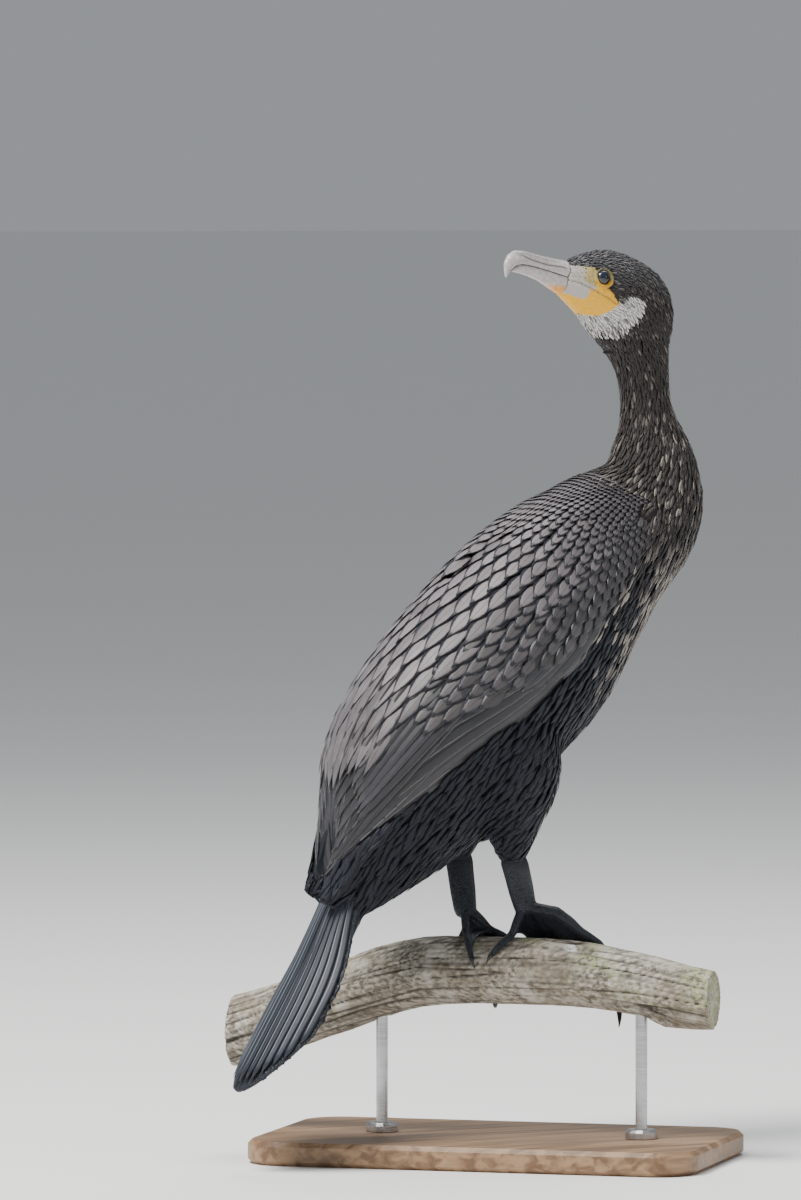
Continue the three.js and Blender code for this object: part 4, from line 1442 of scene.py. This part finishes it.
@dataclass
class Bill:
    """Upper and lower bill with their grooves, hook and cutting edges."""

    nodes: dict[str, bpy.types.Object]

    # Where the groove and the culmen's ridge run, in millimetres forward and up in the head's axes.
    GROOVE_X = [20, 28, 40, 54, 64]
    GROOVE_Z = [-2.6, -2.3, -4.2, -4.7, -3.8]
    RIDGE_X = [20, 40, 60, 70]
    RIDGE_Z = [5.2, 1.0, 0.0, -3.0]

    SIDE_GREY = np.array([0.47, 0.43, 0.42])
    RIDGE_GREY = np.array([0.20, 0.185, 0.185])
    # Painted shade in the groove along the upper bill.
    GROOVE_PAINTED_SHADE = np.array([0.06, 0.055, 0.055])
    BASE_YELLOW = np.array([0.80, 0.34, 0.05])
    HOOK_GREY = np.array([0.42, 0.40, 0.38])

    def build(self) -> list[bpy.types.Object]:
        """Shapes copies of the two bill nodes."""
        made = []
        for name in ("bill_upper", "bill_lower"):
            piece = copy_of([self.nodes[name]], name.replace("bill", "horn"))
            apply_modifier(piece, "REMESH", mode="VOXEL", voxel_size=0.42 * MM)
            apply_modifier(piece, "SMOOTH", factor=0.5, iterations=6)
            points, normals = vertices_of(piece), normals_of(piece)
            local = to_head(points)
            x, z = local[:, 0], local[:, 2]
            groove_z = np.interp(x, self.GROOVE_X, self.GROOVE_Z)
            groove = np.exp(-((z - groove_z) / 0.55) ** 2) * ramp(21, 27, x) * ramp(67, 60, x)
            if name == "bill_lower":
                groove = groove * 0
            plates = np.array([noise.noise(Vector((a * 0.22, b * 0.5, c * 0.9))) for a, b, c in local])
            rise = -0.42 * groove + 0.10 * plates
            set_vertices(piece, points + normals * (rise * MM)[:, None])
            ridge = np.interp(x, self.RIDGE_X, self.RIDGE_Z)
            top = ramp(-2.5, 1.0, z - ridge + 2.0)
            colour = mix(self.SIDE_GREY, self.RIDGE_GREY, (0.75 * top)[:, None])
            # Painted shade darkens the carved groove.
            colour = mix(colour, self.GROOVE_PAINTED_SHADE, np.clip(groove * 0.85, 0, 1)[:, None])
            if name == "bill_lower":
                yellow = ramp(38, 24, x) * ramp(-13.5, -16.5, z + 0.10 * (x - 30))
                colour = mix(colour, self.BASE_YELLOW, yellow[:, None])
            hook = ramp(62, 70, x)
            colour = mix(colour, self.HOOK_GREY, (0.5 * hook)[:, None])
            set_tint(piece, "tint", colour)
            smooth_shade(piece)
            made.append(piece)
        return made


@dataclass
class Eyes:
    """Glossy eyes, each with a dark blue iris round the pupil."""

    # Angles off the eye's axis, in degrees, where the pupil ends and the iris passes to the ball.
    PUPIL = 19
    IRIS = (40, 48)

    PUPIL_BLACK = np.array([0.003, 0.003, 0.004])
    IRIS_BLUE = np.array([0.008, 0.014, 0.024])
    BALL_GREY = np.array([0.030, 0.036, 0.046])

    def build(self, side: Side) -> bpy.types.Object:
        """One eye, its outer part a little more domed than the ball."""
        centre = from_head(EYE_AT * np.array([1.0, side.value, 1.0]))
        out = HEAD_AXES @ unit(np.array([0.10, side.value, 0.04]))
        deselect()
        bpy.ops.mesh.primitive_uv_sphere_add(segments=64, ring_count=48, radius=EYE_RADIUS)
        eye = bpy.context.view_layer.objects.active
        eye.name = f"eyeball_{side.word}"
        eye.data.name = eye.name
        eye.rotation_mode = "QUATERNION"
        eye.rotation_quaternion = Vector(out).to_track_quat("Z", "Y")
        eye.location = centre
        bpy.ops.object.transform_apply(location=True, rotation=True, scale=True)
        points = vertices_of(eye)
        outward = unit(points - centre)
        facing = outward @ out
        bulge = ramp(0.80, 0.97, facing) * 0.35 * MM
        set_vertices(eye, points + outward * bulge[:, None])
        off = np.degrees(np.arccos(np.clip(facing, -1, 1)))
        colour = np.where((off < self.PUPIL)[:, None], self.PUPIL_BLACK, self.IRIS_BLUE)
        colour = mix(colour, self.BALL_GREY, ramp(*self.IRIS, off)[:, None])
        set_tint(eye, "tint", colour)
        smooth_shade(eye)
        return eye


@dataclass
class Perch:
    """The weathered branch, with its splits, furrows and lichen."""

    node: bpy.types.Object

    # Height of the branch's middle under the feet, and its drop from there along its length, in millimetres.
    HEIGHT = 126.5
    DROP_AT = [-184, -100, -50, 0, 55, 100, 150]
    DROP = [45, 17, 2, 0, 1, 7, 16.5]

    def build(self) -> bpy.types.Object:
        """Carves the grain into a copy of the branch."""
        piece = copy_of([self.node], "branch")
        apply_modifier(piece, "REMESH", mode="VOXEL", voxel_size=1.05 * MM)
        apply_modifier(piece, "SMOOTH", factor=0.5, iterations=3)
        points, normals = vertices_of(piece), normals_of(piece)
        axis = unit(np.array([1.0, -1.0, 0.0]))
        across = np.array([-axis[1], axis[0], 0.0])
        along = points @ axis / MM
        middle = self.HEIGHT - np.interp(along, self.DROP_AT, self.DROP)
        turn = np.arctan2(points[:, 2] / MM - middle, points @ across / MM)
        wander = [a + 6 * noise.noise(Vector((a * 0.02, t, 3.1))) for a, t in zip(along, turn)]
        rows = []
        for a, t in zip(wander, turn):
            c, s = math.cos(t), math.sin(t)
            coarse = noise.noise(Vector((a * 0.011, c * 4.2, s * 4.2)))
            fine = noise.noise(Vector((a * 0.028 + 9, c * 11, s * 11)))
            hair = noise.noise(Vector((a * 0.05 + 31, c * 26, s * 26)))
            split = noise.noise(Vector((a * 0.007 + 60, c * 2.4, s * 2.4)))
            rows.append((coarse, fine, hair, split))
        coarse, fine, hair, split = np.array(rows).T
        cut = np.exp(-(split / 0.045) ** 2)
        furrow = np.clip(1 - np.abs(coarse) * 2.2, 0, 1) ** 3
        rise = 0.5 * fine + 0.28 * hair - 0.75 * furrow - 1.5 * cut
        end = ramp(-176, -184, along) + ramp(142, 150, along)
        rise = rise * (1 - 0.6 * end) - 0.25
        set_vertices(piece, points + normals * (rise * MM)[:, None])
        # Painted shade in the splits and furrows, less on the raised grain, stored as the cut value.
        depth = np.clip(0.9 * cut + 0.55 * furrow - 0.35 * fine, 0, 1)
        set_value(piece, "cut", depth)
        moss = np.array([noise.noise(Vector(p * 34)) for p in points])
        green = ramp(0.0, 0.28, moss + 0.0022 * along - 0.10) * ramp(-0.4, 0.5, normals[:, 2] + 0.35)
        set_value(piece, "moss", green * (1 - 0.6 * cut))
        spot = np.exp(-(((along - 55) / 4.5) ** 2 + ((turn - 2.1) / 0.16) ** 2))
        set_value(piece, "spot", np.clip(spot * 1.6, 0, 1))
        smooth_shade(piece)
        return piece


@dataclass
class Graph:
    """A node tree being filled in.

    Attributes:
        tree: the tree.
    """

    tree: bpy.types.NodeTree

    def add(self, kind: str, **settings: object) -> bpy.types.Node:
        """Adds a node and sets its properties."""
        node = self.tree.nodes.new(kind)
        for key, value in settings.items():
            setattr(node, key, value)
        return node

    def link(self, source: bpy.types.NodeSocket, target: bpy.types.NodeSocket) -> None:
        """Joins two sockets."""
        self.tree.links.new(source, target)

    def feed(self, socket: bpy.types.NodeSocket, value: object) -> None:
        """Gives a socket a value or a link."""
        if isinstance(value, bpy.types.NodeSocket):
            self.link(value, socket)
        else:
            socket.default_value = value

    def math(self, operation: str, *values: object) -> bpy.types.NodeSocket:
        """A math node's result."""
        node = self.add("ShaderNodeMath", operation=operation)
        for socket, value in zip(node.inputs, values):
            self.feed(socket, value)
        return node.outputs[0]

    def range(self, value: object, low: object, high: object, start: float = 0.0,
              stop: float = 1.0) -> bpy.types.NodeSocket:
        """A smooth step between two values."""
        node = self.add("ShaderNodeMapRange", interpolation_type="SMOOTHSTEP")
        for socket, item in zip(node.inputs, (value, low, high, start, stop)):
            self.feed(socket, item)
        return node.outputs[0]

    def blend(self, factor: object, a: object, b: object) -> bpy.types.NodeSocket:
        """A mixed colour."""
        node = self.add("ShaderNodeMix", data_type="RGBA")
        self.feed(node.inputs[0], factor)
        for socket, value in ((node.inputs[6], a), (node.inputs[7], b)):
            self.feed(socket, (*value, 1.0) if isinstance(value, tuple) else value)
        return node.outputs[2]

    def attribute(self, name: str, output: str = "Fac") -> bpy.types.NodeSocket:
        """A stored value or colour."""
        return self.add("ShaderNodeAttribute", attribute_name=name).outputs[output]

    def noise(self, scale: float, detail: float,
              stretch: tuple[float, float, float] = (1, 1, 1)) -> bpy.types.NodeSocket:
        """Noise on the object's own coordinates."""
        place = self.add("ShaderNodeTexCoord").outputs["Object"]
        mapping = self.add("ShaderNodeMapping")
        mapping.inputs["Scale"].default_value = stretch
        self.link(place, mapping.inputs["Vector"])
        node = self.add("ShaderNodeTexNoise")
        self.link(mapping.outputs[0], node.inputs["Vector"])
        node.inputs["Scale"].default_value = scale
        node.inputs["Detail"].default_value = detail
        return node.outputs["Fac"]


def vane_group() -> bpy.types.NodeTree:
    """The look shared by all feathers: rim, shaft and barbs, from the feather's own map."""
    tree = bpy.data.node_groups.new("Vane", "ShaderNodeTree")
    for name in ("Rim width", "Shaft width", "Barbs"):
        tree.interface.new_socket(name, in_out="INPUT", socket_type="NodeSocketFloat")
    for name, kind in (("Colour", "Color"), ("Height", "Float"), ("Rim", "Float")):
        tree.interface.new_socket(name, in_out="OUTPUT", socket_type=f"NodeSocket{kind}")
    g = Graph(tree)
    given, out = g.add("NodeGroupInput"), g.add("NodeGroupOutput")
    place = g.add("ShaderNodeUVMap", uv_map="Feather")
    split = g.add("ShaderNodeSeparateXYZ")
    g.link(place.outputs[0], split.inputs[0])
    off = g.math("ABSOLUTE", g.math("MULTIPLY_ADD", split.outputs[0], 2.0, -1.0))
    wide, long = g.attribute("wide"), g.attribute("long")
    half = g.math("MULTIPLY", wide, 0.5)
    from_shaft = g.math("MULTIPLY", off, half)
    from_edge = g.math("MULTIPLY", g.math("SUBTRACT", 1.0, off), half)
    short = g.math("MULTIPLY", long, 0.5)
    from_tip = g.math("MULTIPLY", g.math("SUBTRACT", 1.0, split.outputs[1]), short)
    wobble = g.math("MULTIPLY_ADD", g.noise(900, 2), 0.9, 0.55)
    border = g.math("MULTIPLY", g.math("MULTIPLY", wide, given.outputs[0]), wobble)
    rim = g.range(g.math("MINIMUM", from_edge, from_tip), g.math("MULTIPLY", border, 0.7),
                  g.math("MULTIPLY", border, 1.15), 1.0, 0.0)
    slant = g.math("MULTIPLY", from_shaft, 0.9)
    barb_at = g.math("SUBTRACT", g.math("MULTIPLY", split.outputs[1], long), slant)
    wave = g.math("SINE", g.math("MULTIPLY_ADD", g.noise(500, 2), 3.0, g.math("MULTIPLY", barb_at, 8.5)))
    shade = g.math("MULTIPLY_ADD", g.math("MULTIPLY", wave, given.outputs[2]), 0.14,
                   g.math("MULTIPLY_ADD", g.noise(160, 3), 0.5, 0.75))
    tinted = g.add("ShaderNodeVectorMath", operation="SCALE")
    g.link(g.attribute("tint", "Color"), tinted.inputs[0])
    g.link(shade, tinted.inputs["Scale"])
    colour = g.blend(rim, tinted.outputs[0], g.attribute("rim", "Color"))
    stem = g.range(from_shaft, g.math("MULTIPLY", given.outputs[1], 0.7), given.outputs[1], 1.0, 0.0)
    stem = g.math("MULTIPLY", stem, g.range(split.outputs[1], 0.86, 0.97, 1.0, 0.0))
    colour = g.blend(stem, colour, g.attribute("shaft", "Color"))
    height = g.math("MULTIPLY_ADD", g.math("MULTIPLY", wave, given.outputs[2]), 0.35, stem)
    g.link(colour, out.inputs["Colour"])
    g.link(height, out.inputs["Height"])
    g.link(rim, out.inputs["Rim"])
    return tree


@dataclass(frozen=True)
class FeatherLook:
    """How one kind of feather takes the light.

    Attributes:
        name: the material's name.
        rim: share of the width that the border takes.
        shaft: width of the shaft line, in millimetres.
        barbs: strength of the barbs.
        rough: roughness of the vane.
        rim_rough: roughness of the border.
        sheen: strength of the sheen.
        gloss_tint: colour of the sheen.
    """

    name: str
    rim: float
    shaft: float
    barbs: float
    rough: float
    rim_rough: float
    sheen: float
    gloss_tint: Rgb

    def make(self, group: bpy.types.NodeTree) -> bpy.types.Material:
        """Builds the material around the shared vane group."""
        material, g, shader = new_material(self.name)
        vane = g.add("ShaderNodeGroup", node_tree=group)
        vane.inputs[0].default_value = self.rim
        vane.inputs[1].default_value = self.shaft
        vane.inputs[2].default_value = self.barbs
        g.link(vane.outputs["Colour"], shader.inputs["Base Color"])
        rough = g.range(vane.outputs["Rim"], 0.0, 1.0, self.rough, self.rim_rough)
        g.link(rough, shader.inputs["Roughness"])
        bump_to(g, shader, vane.outputs["Height"], 0.35, 0.15 * MM)
        shader.inputs["Specular IOR Level"].default_value = 0.35
        shader.inputs["Sheen Weight"].default_value = self.sheen
        shader.inputs["Sheen Roughness"].default_value = 0.45
        shader.inputs["Sheen Tint"].default_value = (*self.gloss_tint, 1.0)
        return material


NECK_LOOK = FeatherLook("feather_neck", 0.26, 0.10, 0.4, 0.62, 0.5, 0.12, (0.60, 0.55, 0.50))
BELLY_LOOK = FeatherLook("feather_belly", 0.20, 0.12, 0.6, 0.62, 0.55, 0.05, (0.45, 0.55, 0.80))
WING_LOOK = FeatherLook("feather_wing", 0.19, 0.24, 0.9, 0.46, 0.32, 0.10, (0.60, 0.60, 0.70))
QUILL_LOOK = FeatherLook("feather_quill", 0.07, 0.45, 1.0, 0.44, 0.40, 0.06, (0.60, 0.60, 0.70))
TAIL_LOOK = FeatherLook("feather_tail", 0.06, 0.50, 1.0, 0.42, 0.38, 0.06, (0.55, 0.60, 0.75))


def new_material(name: str) -> tuple[bpy.types.Material, Graph, bpy.types.Node]:
    """An empty material with its main shader.

    Args:
        name: the material's name.

    Returns:
        The material, its graph and the Principled shader.
    """
    material = bpy.data.materials.new(name)
    material.use_nodes = True
    shader = next(n for n in material.node_tree.nodes if n.type == "BSDF_PRINCIPLED")
    return material, Graph(material.node_tree), shader


def bump_to(g: Graph, shader: bpy.types.Node, height: bpy.types.NodeSocket, strength: float,
            depth: float) -> None:
    """Adds fine relief to a shader."""
    bump = g.add("ShaderNodeBump")
    bump.inputs["Strength"].default_value = strength
    bump.inputs["Distance"].default_value = depth
    g.link(height, bump.inputs["Height"])
    g.link(bump.outputs[0], shader.inputs["Normal"])


def skin_material() -> bpy.types.Material:
    """Bare face, speckled lores, scaled legs and webs, and dark down between the feathers."""
    material, g, shader = new_material("skin_bare")
    leg, face, lore = g.attribute("leg"), g.attribute("face"), g.attribute("lore")
    place = g.add("ShaderNodeTexCoord").outputs["Object"]
    scales = g.add("ShaderNodeTexVoronoi", feature="DISTANCE_TO_EDGE")
    scales.inputs["Scale"].default_value = 620
    g.link(place, scales.inputs["Vector"])
    plate = g.range(scales.outputs["Distance"], 0.02, 0.16)
    dots = g.add("ShaderNodeTexVoronoi", feature="F1")
    dots.inputs["Scale"].default_value = 900
    g.link(place, dots.inputs["Vector"])
    speck = g.range(dots.outputs["Distance"], 0.28, 0.42, 1.0, 0.0)
    speck = g.math("MULTIPLY", g.math("MULTIPLY", speck, lore), g.range(g.noise(420, 2), 0.42, 0.52))
    base = g.attribute("tint", "Color")
    base = g.blend(g.math("MULTIPLY", leg, plate), base, (0.030, 0.036, 0.048))
    pale = g.math("MULTIPLY", face, g.range(g.noise(520, 4), 0.35, 0.75, 0.0, 0.18))
    base = g.blend(pale, base, (0.80, 0.62, 0.28))
    base = g.blend(g.math("MULTIPLY", speck, 0.85), base, (0.05, 0.045, 0.03))
    g.link(base, shader.inputs["Base Color"])
    g.link(g.range(g.math("MAXIMUM", leg, face), 0.0, 1.0, 0.8, 0.42), shader.inputs["Roughness"])
    shader.inputs["Specular IOR Level"].default_value = 0.35
    relief = g.math("ADD", g.math("MULTIPLY", plate, leg), g.math("MULTIPLY", g.noise(1100, 4), face))
    bump_to(g, shader, relief, 0.9, 0.4 * MM)
    return material


def tinted_material(name: str, rough: float, coat: float, grain: float,
                    depth: float) -> bpy.types.Material:
    """A plain surface that takes its colour from the piece's own tint.

    Args:
        name: the material's name.
        rough: roughness.
        coat: weight of a clear coat.
        grain: scale of the fine noise.
        depth: relief of that noise, in metres.

    Returns:
        The material.
    """
    material, g, shader = new_material(name)
    fine = g.noise(grain, 5)
    shade = g.add("ShaderNodeVectorMath", operation="SCALE")
    g.link(g.attribute("tint", "Color"), shade.inputs[0])
    g.link(g.range(fine, 0.3, 0.7, 0.86, 1.12), shade.inputs["Scale"])
    g.link(shade.outputs[0], shader.inputs["Base Color"])
    g.link(g.range(fine, 0.3, 0.7, rough * 0.85, rough * 1.15), shader.inputs["Roughness"])
    shader.inputs["Coat Weight"].default_value = coat
    shader.inputs["Coat Roughness"].default_value = 0.04
    if depth > 0:
        bump_to(g, shader, fine, 0.5, depth)
    return material


def claw_material() -> bpy.types.Material:
    """Black horn with fine lengthwise wear."""
    material, g, shader = new_material("claw_horn_black")
    wear = g.noise(700, 4)
    colour = g.blend(g.range(wear, 0.45, 0.8), (0.008, 0.008, 0.010), (0.035, 0.033, 0.033))
    g.link(colour, shader.inputs["Base Color"])
    g.link(g.range(wear, 0.3, 0.7, 0.24, 0.42), shader.inputs["Roughness"])
    bump_to(g, shader, wear, 0.3, 0.08 * MM)
    return material


def long_grain(g: Graph, squeeze: float, scale: float, detail: float,
               bend: float = 0.0) -> bpy.types.NodeSocket:
    """Noise drawn out along the branch and the base, which lie at 45 degrees to the frame.

    Args:
        g: the material's graph.
        squeeze: scale along the grain over the scale across it.
        scale: scale across the grain.
        detail: octaves of the noise.
        bend: its distortion.

    Returns:
        The noise.
    """
    turn = g.add("ShaderNodeMapping")
    turn.inputs["Rotation"].default_value = (0, 0, math.radians(45))
    turn.inputs["Scale"].default_value = (squeeze, 1.0, 1.0)
    g.link(g.add("ShaderNodeTexCoord").outputs["Object"], turn.inputs["Vector"])
    grain = g.add("ShaderNodeTexNoise")
    grain.inputs["Scale"].default_value = scale
    grain.inputs["Detail"].default_value = detail
    grain.inputs["Distortion"].default_value = bend
    g.link(turn.outputs[0], grain.inputs["Vector"])
    return grain.outputs["Fac"]


def branch_material() -> bpy.types.Material:
    """Weathered grey wood with painted shade in its splits and furrows, brown streaks and greenish lichen."""
    material, g, shader = new_material("branch_weathered")
    lines = long_grain(g, 0.10, 420, 5)
    wide = g.noise(26, 4)
    wood = g.blend(g.range(lines, 0.32, 0.70), (0.11, 0.092, 0.070), (0.56, 0.52, 0.44))
    wood = g.blend(g.range(wide, 0.40, 0.66, 0.0, 0.65), wood, (0.27, 0.225, 0.16))
    wood = g.blend(g.range(g.noise(60, 3), 0.52, 0.72, 0.0, 0.6), wood, (0.66, 0.63, 0.56))
    # Painted shade darkens the splits and furrows.
    wood = g.blend(g.math("MULTIPLY", g.attribute("cut"), 0.9), wood, (0.020, 0.015, 0.011))
    moss = g.math("MULTIPLY", g.attribute("moss"), g.range(g.noise(330, 4), 0.42, 0.62))
    wood = g.blend(moss, wood, (0.34, 0.36, 0.18))
    spot = g.math("MULTIPLY", g.attribute("spot"), g.range(g.noise(240, 3), 0.35, 0.55))
    wood = g.blend(spot, wood, (0.72, 0.72, 0.72))
    g.link(wood, shader.inputs["Base Color"])
    shader.inputs["Roughness"].default_value = 0.86
    bump_to(g, shader, g.math("ADD", lines, g.math("MULTIPLY", g.noise(900, 4), 0.4)), 0.8, 0.45 * MM)
    return material


def base_material() -> bpy.types.Material:
    """Oiled wood with long grain, a little darker toward worn patches."""
    material, g, shader = new_material("base_oiled")
    lines = long_grain(g, 0.06, 150, 6, bend=0.6)
    colour = g.blend(g.range(lines, 0.35, 0.66), (0.16, 0.085, 0.042), (0.36, 0.225, 0.125))
    colour = g.blend(g.range(g.noise(9, 3), 0.4, 0.7, 0.0, 0.4), colour, (0.20, 0.12, 0.065))
    g.link(colour, shader.inputs["Base Color"])
    g.link(g.range(lines, 0.3, 0.7, 0.36, 0.52), shader.inputs["Roughness"])
    bump_to(g, shader, lines, 0.25, 0.12 * MM)
    return material


def rod_material() -> bpy.types.Material:
    """Brushed steel with fine rings and faint smudges."""
    material, g, shader = new_material("rod_brushed")
    rings = g.noise(60, 3, (1, 1, 30))
    smudge = g.noise(34, 3)
    colour = g.blend(g.range(rings, 0.3, 0.7), (0.42, 0.42, 0.43), (0.58, 0.58, 0.59))
    g.link(colour, shader.inputs["Base Color"])
    shader.inputs["Metallic"].default_value = 1.0
    rough = g.math("ADD", g.range(rings, 0.3, 0.7, 0.24, 0.34), g.range(smudge, 0.45, 0.7, 0.0, 0.14))
    g.link(rough, shader.inputs["Roughness"])
    bump_to(g, shader, rings, 0.15, 0.05 * MM)
    return material


def floor_material() -> bpy.types.Material:
    """Plain pale floor."""
    material, g, shader = new_material("floor_pale")
    g.link(g.blend(g.noise(3, 2), (0.88, 0.88, 0.87), (0.90, 0.90, 0.89)), shader.inputs["Base Color"])
    shader.inputs["Roughness"].default_value = 0.75
    return material


def wear_material(obj: bpy.types.Object, material: bpy.types.Material) -> None:
    """Gives an object one material for all its faces."""
    obj.data.materials.clear()
    obj.data.materials.append(material)


@dataclass
class Studio:
    """Camera, lights and floor."""

    look_from: Array = field(default_factory=lambda: np.array([0.0, 0.0, 0.330]))
    look_at: Array = field(default_factory=lambda: np.array([-0.0560, 0.0323, 0.3752]))
    distance: float = 6.0
    azimuth: float = -30.0
    elevation: float = 3.0
    lens: float = 268.66
    sensor: float = 36.0

    SKY = (0.80, 0.84, 0.88)
    SKY_STRENGTH = 0.39
    FLOOR_SIZE = 300
    CLIP_END = 400
    MIDDLE = Vector((0, 0, 0.35))

    def camera(self) -> None:
        """Places the long lens camera of the photograph."""
        azimuth, height = math.radians(self.azimuth), math.radians(self.elevation)
        back = np.array([math.sin(azimuth) * math.cos(height), -math.cos(azimuth) * math.cos(height),
                         math.sin(height)])
        place = self.look_from + back * self.distance
        bpy.ops.object.camera_add(location=place)
        camera = bpy.context.view_layer.objects.active
        camera.name = "camera"
        camera.rotation_euler = Vector(self.look_at - place).to_track_quat("-Z", "Y").to_euler()
        camera.data.sensor_width = self.sensor
        camera.data.lens = self.lens
        camera.data.clip_end = self.CLIP_END
        bpy.context.scene.camera = camera

    def light(self, name: str, place: tuple[float, float, float], power: float, size: float,
              colour: Rgb) -> None:
        """Adds one soft light aimed at the bird."""
        bpy.ops.object.light_add(type="AREA", location=place)
        lamp = bpy.context.view_layer.objects.active
        lamp.name = name
        lamp.data.energy = power
        lamp.data.size = size
        lamp.data.color = colour
        lamp.rotation_euler = (self.MIDDLE - Vector(place)).to_track_quat("-Z", "Y").to_euler()

    def build(self) -> None:
        """Sets up the whole studio."""
        self.camera()
        self.light("key_light", (-1.6, -0.35, 2.8), 170, 1.2, (1.0, 0.985, 0.96))
        self.light("fill_light", (1.3, -2.6, 1.2), 13, 2.0, (0.94, 0.97, 1.0))
        self.light("top_light", (0.9, 0.9, 2.6), 40, 1.6, (1.0, 1.0, 1.0))
        world = bpy.data.worlds.new("studio")
        bpy.context.scene.world = world
        world.use_nodes = True
        background = next(n for n in world.node_tree.nodes if n.type == "BACKGROUND")
        background.inputs["Color"].default_value = (*self.SKY, 1)
        background.inputs["Strength"].default_value = self.SKY_STRENGTH
        bpy.ops.mesh.primitive_plane_add(size=self.FLOOR_SIZE)
        floor = bpy.context.view_layer.objects.active
        floor.name = "floor"
        floor.data.name = "floor"
        wear_material(floor, floor_material())
        floor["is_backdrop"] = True


@dataclass
class Cormorant:
    """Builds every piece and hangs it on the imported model.

    Attributes:
        nodes: the model's nodes by name.
    """

    nodes: dict[str, bpy.types.Object]

    def claws(self) -> bpy.types.Object:
        """Smooth copies of all eight claws as one piece."""
        names = sorted(n for n in self.nodes if n.startswith("claw_"))
        piece = copy_of([self.nodes[n] for n in names], "claws")
        apply_modifier(piece, "REMESH", mode="VOXEL", voxel_size=0.38 * MM)
        apply_modifier(piece, "SMOOTH", factor=0.5, iterations=3)
        smooth_shade(piece)
        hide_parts(*names)
        return piece

    def settle(self, obj: bpy.types.Object, material: bpy.types.Material, slot: str,
               *nodes: str) -> None:
        """Finishes a piece.

        Args:
            obj: the piece.
            material: its material.
            slot: not used.
            nodes: the model's nodes that it stands for.
        """
        wear_material(obj, material)
        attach(obj, "root")
        if nodes:
            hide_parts(*nodes)
        LOG.info("%s: %d faces", obj.name, len(obj.data.polygons))

    def build(self) -> None:
        """Makes the whole bird, its perch and the stand's finishes."""
        vane = vane_group()
        looks = (NECK_LOOK, BELLY_LOOK, WING_LOOK, QUILL_LOOK, TAIL_LOOK)
        neck_look, belly_look, wing_look, quill_look, tail_look = (look.make(vane) for look in looks)
        skin = Skin(self.nodes)
        flesh = skin.build()
        plumage = Plumage(skin)
        head, neck, front = plumage.small()
        self.settle(head, neck_look, "plumage_neck")
        self.settle(neck, neck_look, "plumage_neck")
        self.settle(front, belly_look, "plumage_belly")
        for side in Side:
            self.settle(plumage.scapulars(side), wing_look, "plumage_wing")
            self.settle(plumage.coverts(side), wing_look, "plumage_wing")
            self.settle(plumage.quills(side), quill_look, "plumage_wing", f"wing_{side.word}")
        tail = plumage.joined("quills_tail", [(Tail().build(), 8)])
        self.settle(tail, tail_look, "plumage_tail", "tail")
        flesh_nodes = {n for n in skin.BODY + skin.HEAD + skin.LEGS if not n.startswith("wing")}
        self.settle(flesh, skin_material(), "leg_skin", *sorted(flesh_nodes))
        for form in (skin.body_form, skin.head_form):
            bpy.data.objects.remove(form.obj)
        horn = tinted_material("bill_pale", 0.42, 0.15, 420, 0.06 * MM)
        for piece, node in zip(Bill(self.nodes).build(), ("bill_upper", "bill_lower")):
            self.settle(piece, horn, "bill_horn", node)
        wet = tinted_material("eye_wet", 0.06, 0.3, 900, 0.0)
        for side in Side:
            self.settle(Eyes().build(side), wet, "eye", f"eye_{side.word}")
        self.settle(self.claws(), claw_material(), "claw_horn")
        branch = Perch(self.nodes["perch_branch"]).build()
        self.settle(branch, branch_material(), "branch_wood", "perch_branch")
        wear_material(self.nodes["stand_base"], base_material())
        steel = rod_material()
        for side in Side:
            wear_material(self.nodes[f"stand_rod_{side.word}"], steel)


def corners() -> list[list[float]]:
    """The whole object's box as plain lists."""
    low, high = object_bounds()
    return [[float(v) for v in low], [float(v) for v in high]]


def main() -> None:
    """Builds the scene."""
    logging.basicConfig(level=logging.INFO, format="%(name)s %(message)s")
    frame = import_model()
    Studio().build()
    Cormorant(frame["nodes"]).build()


if __name__ == "__main__":
    main()
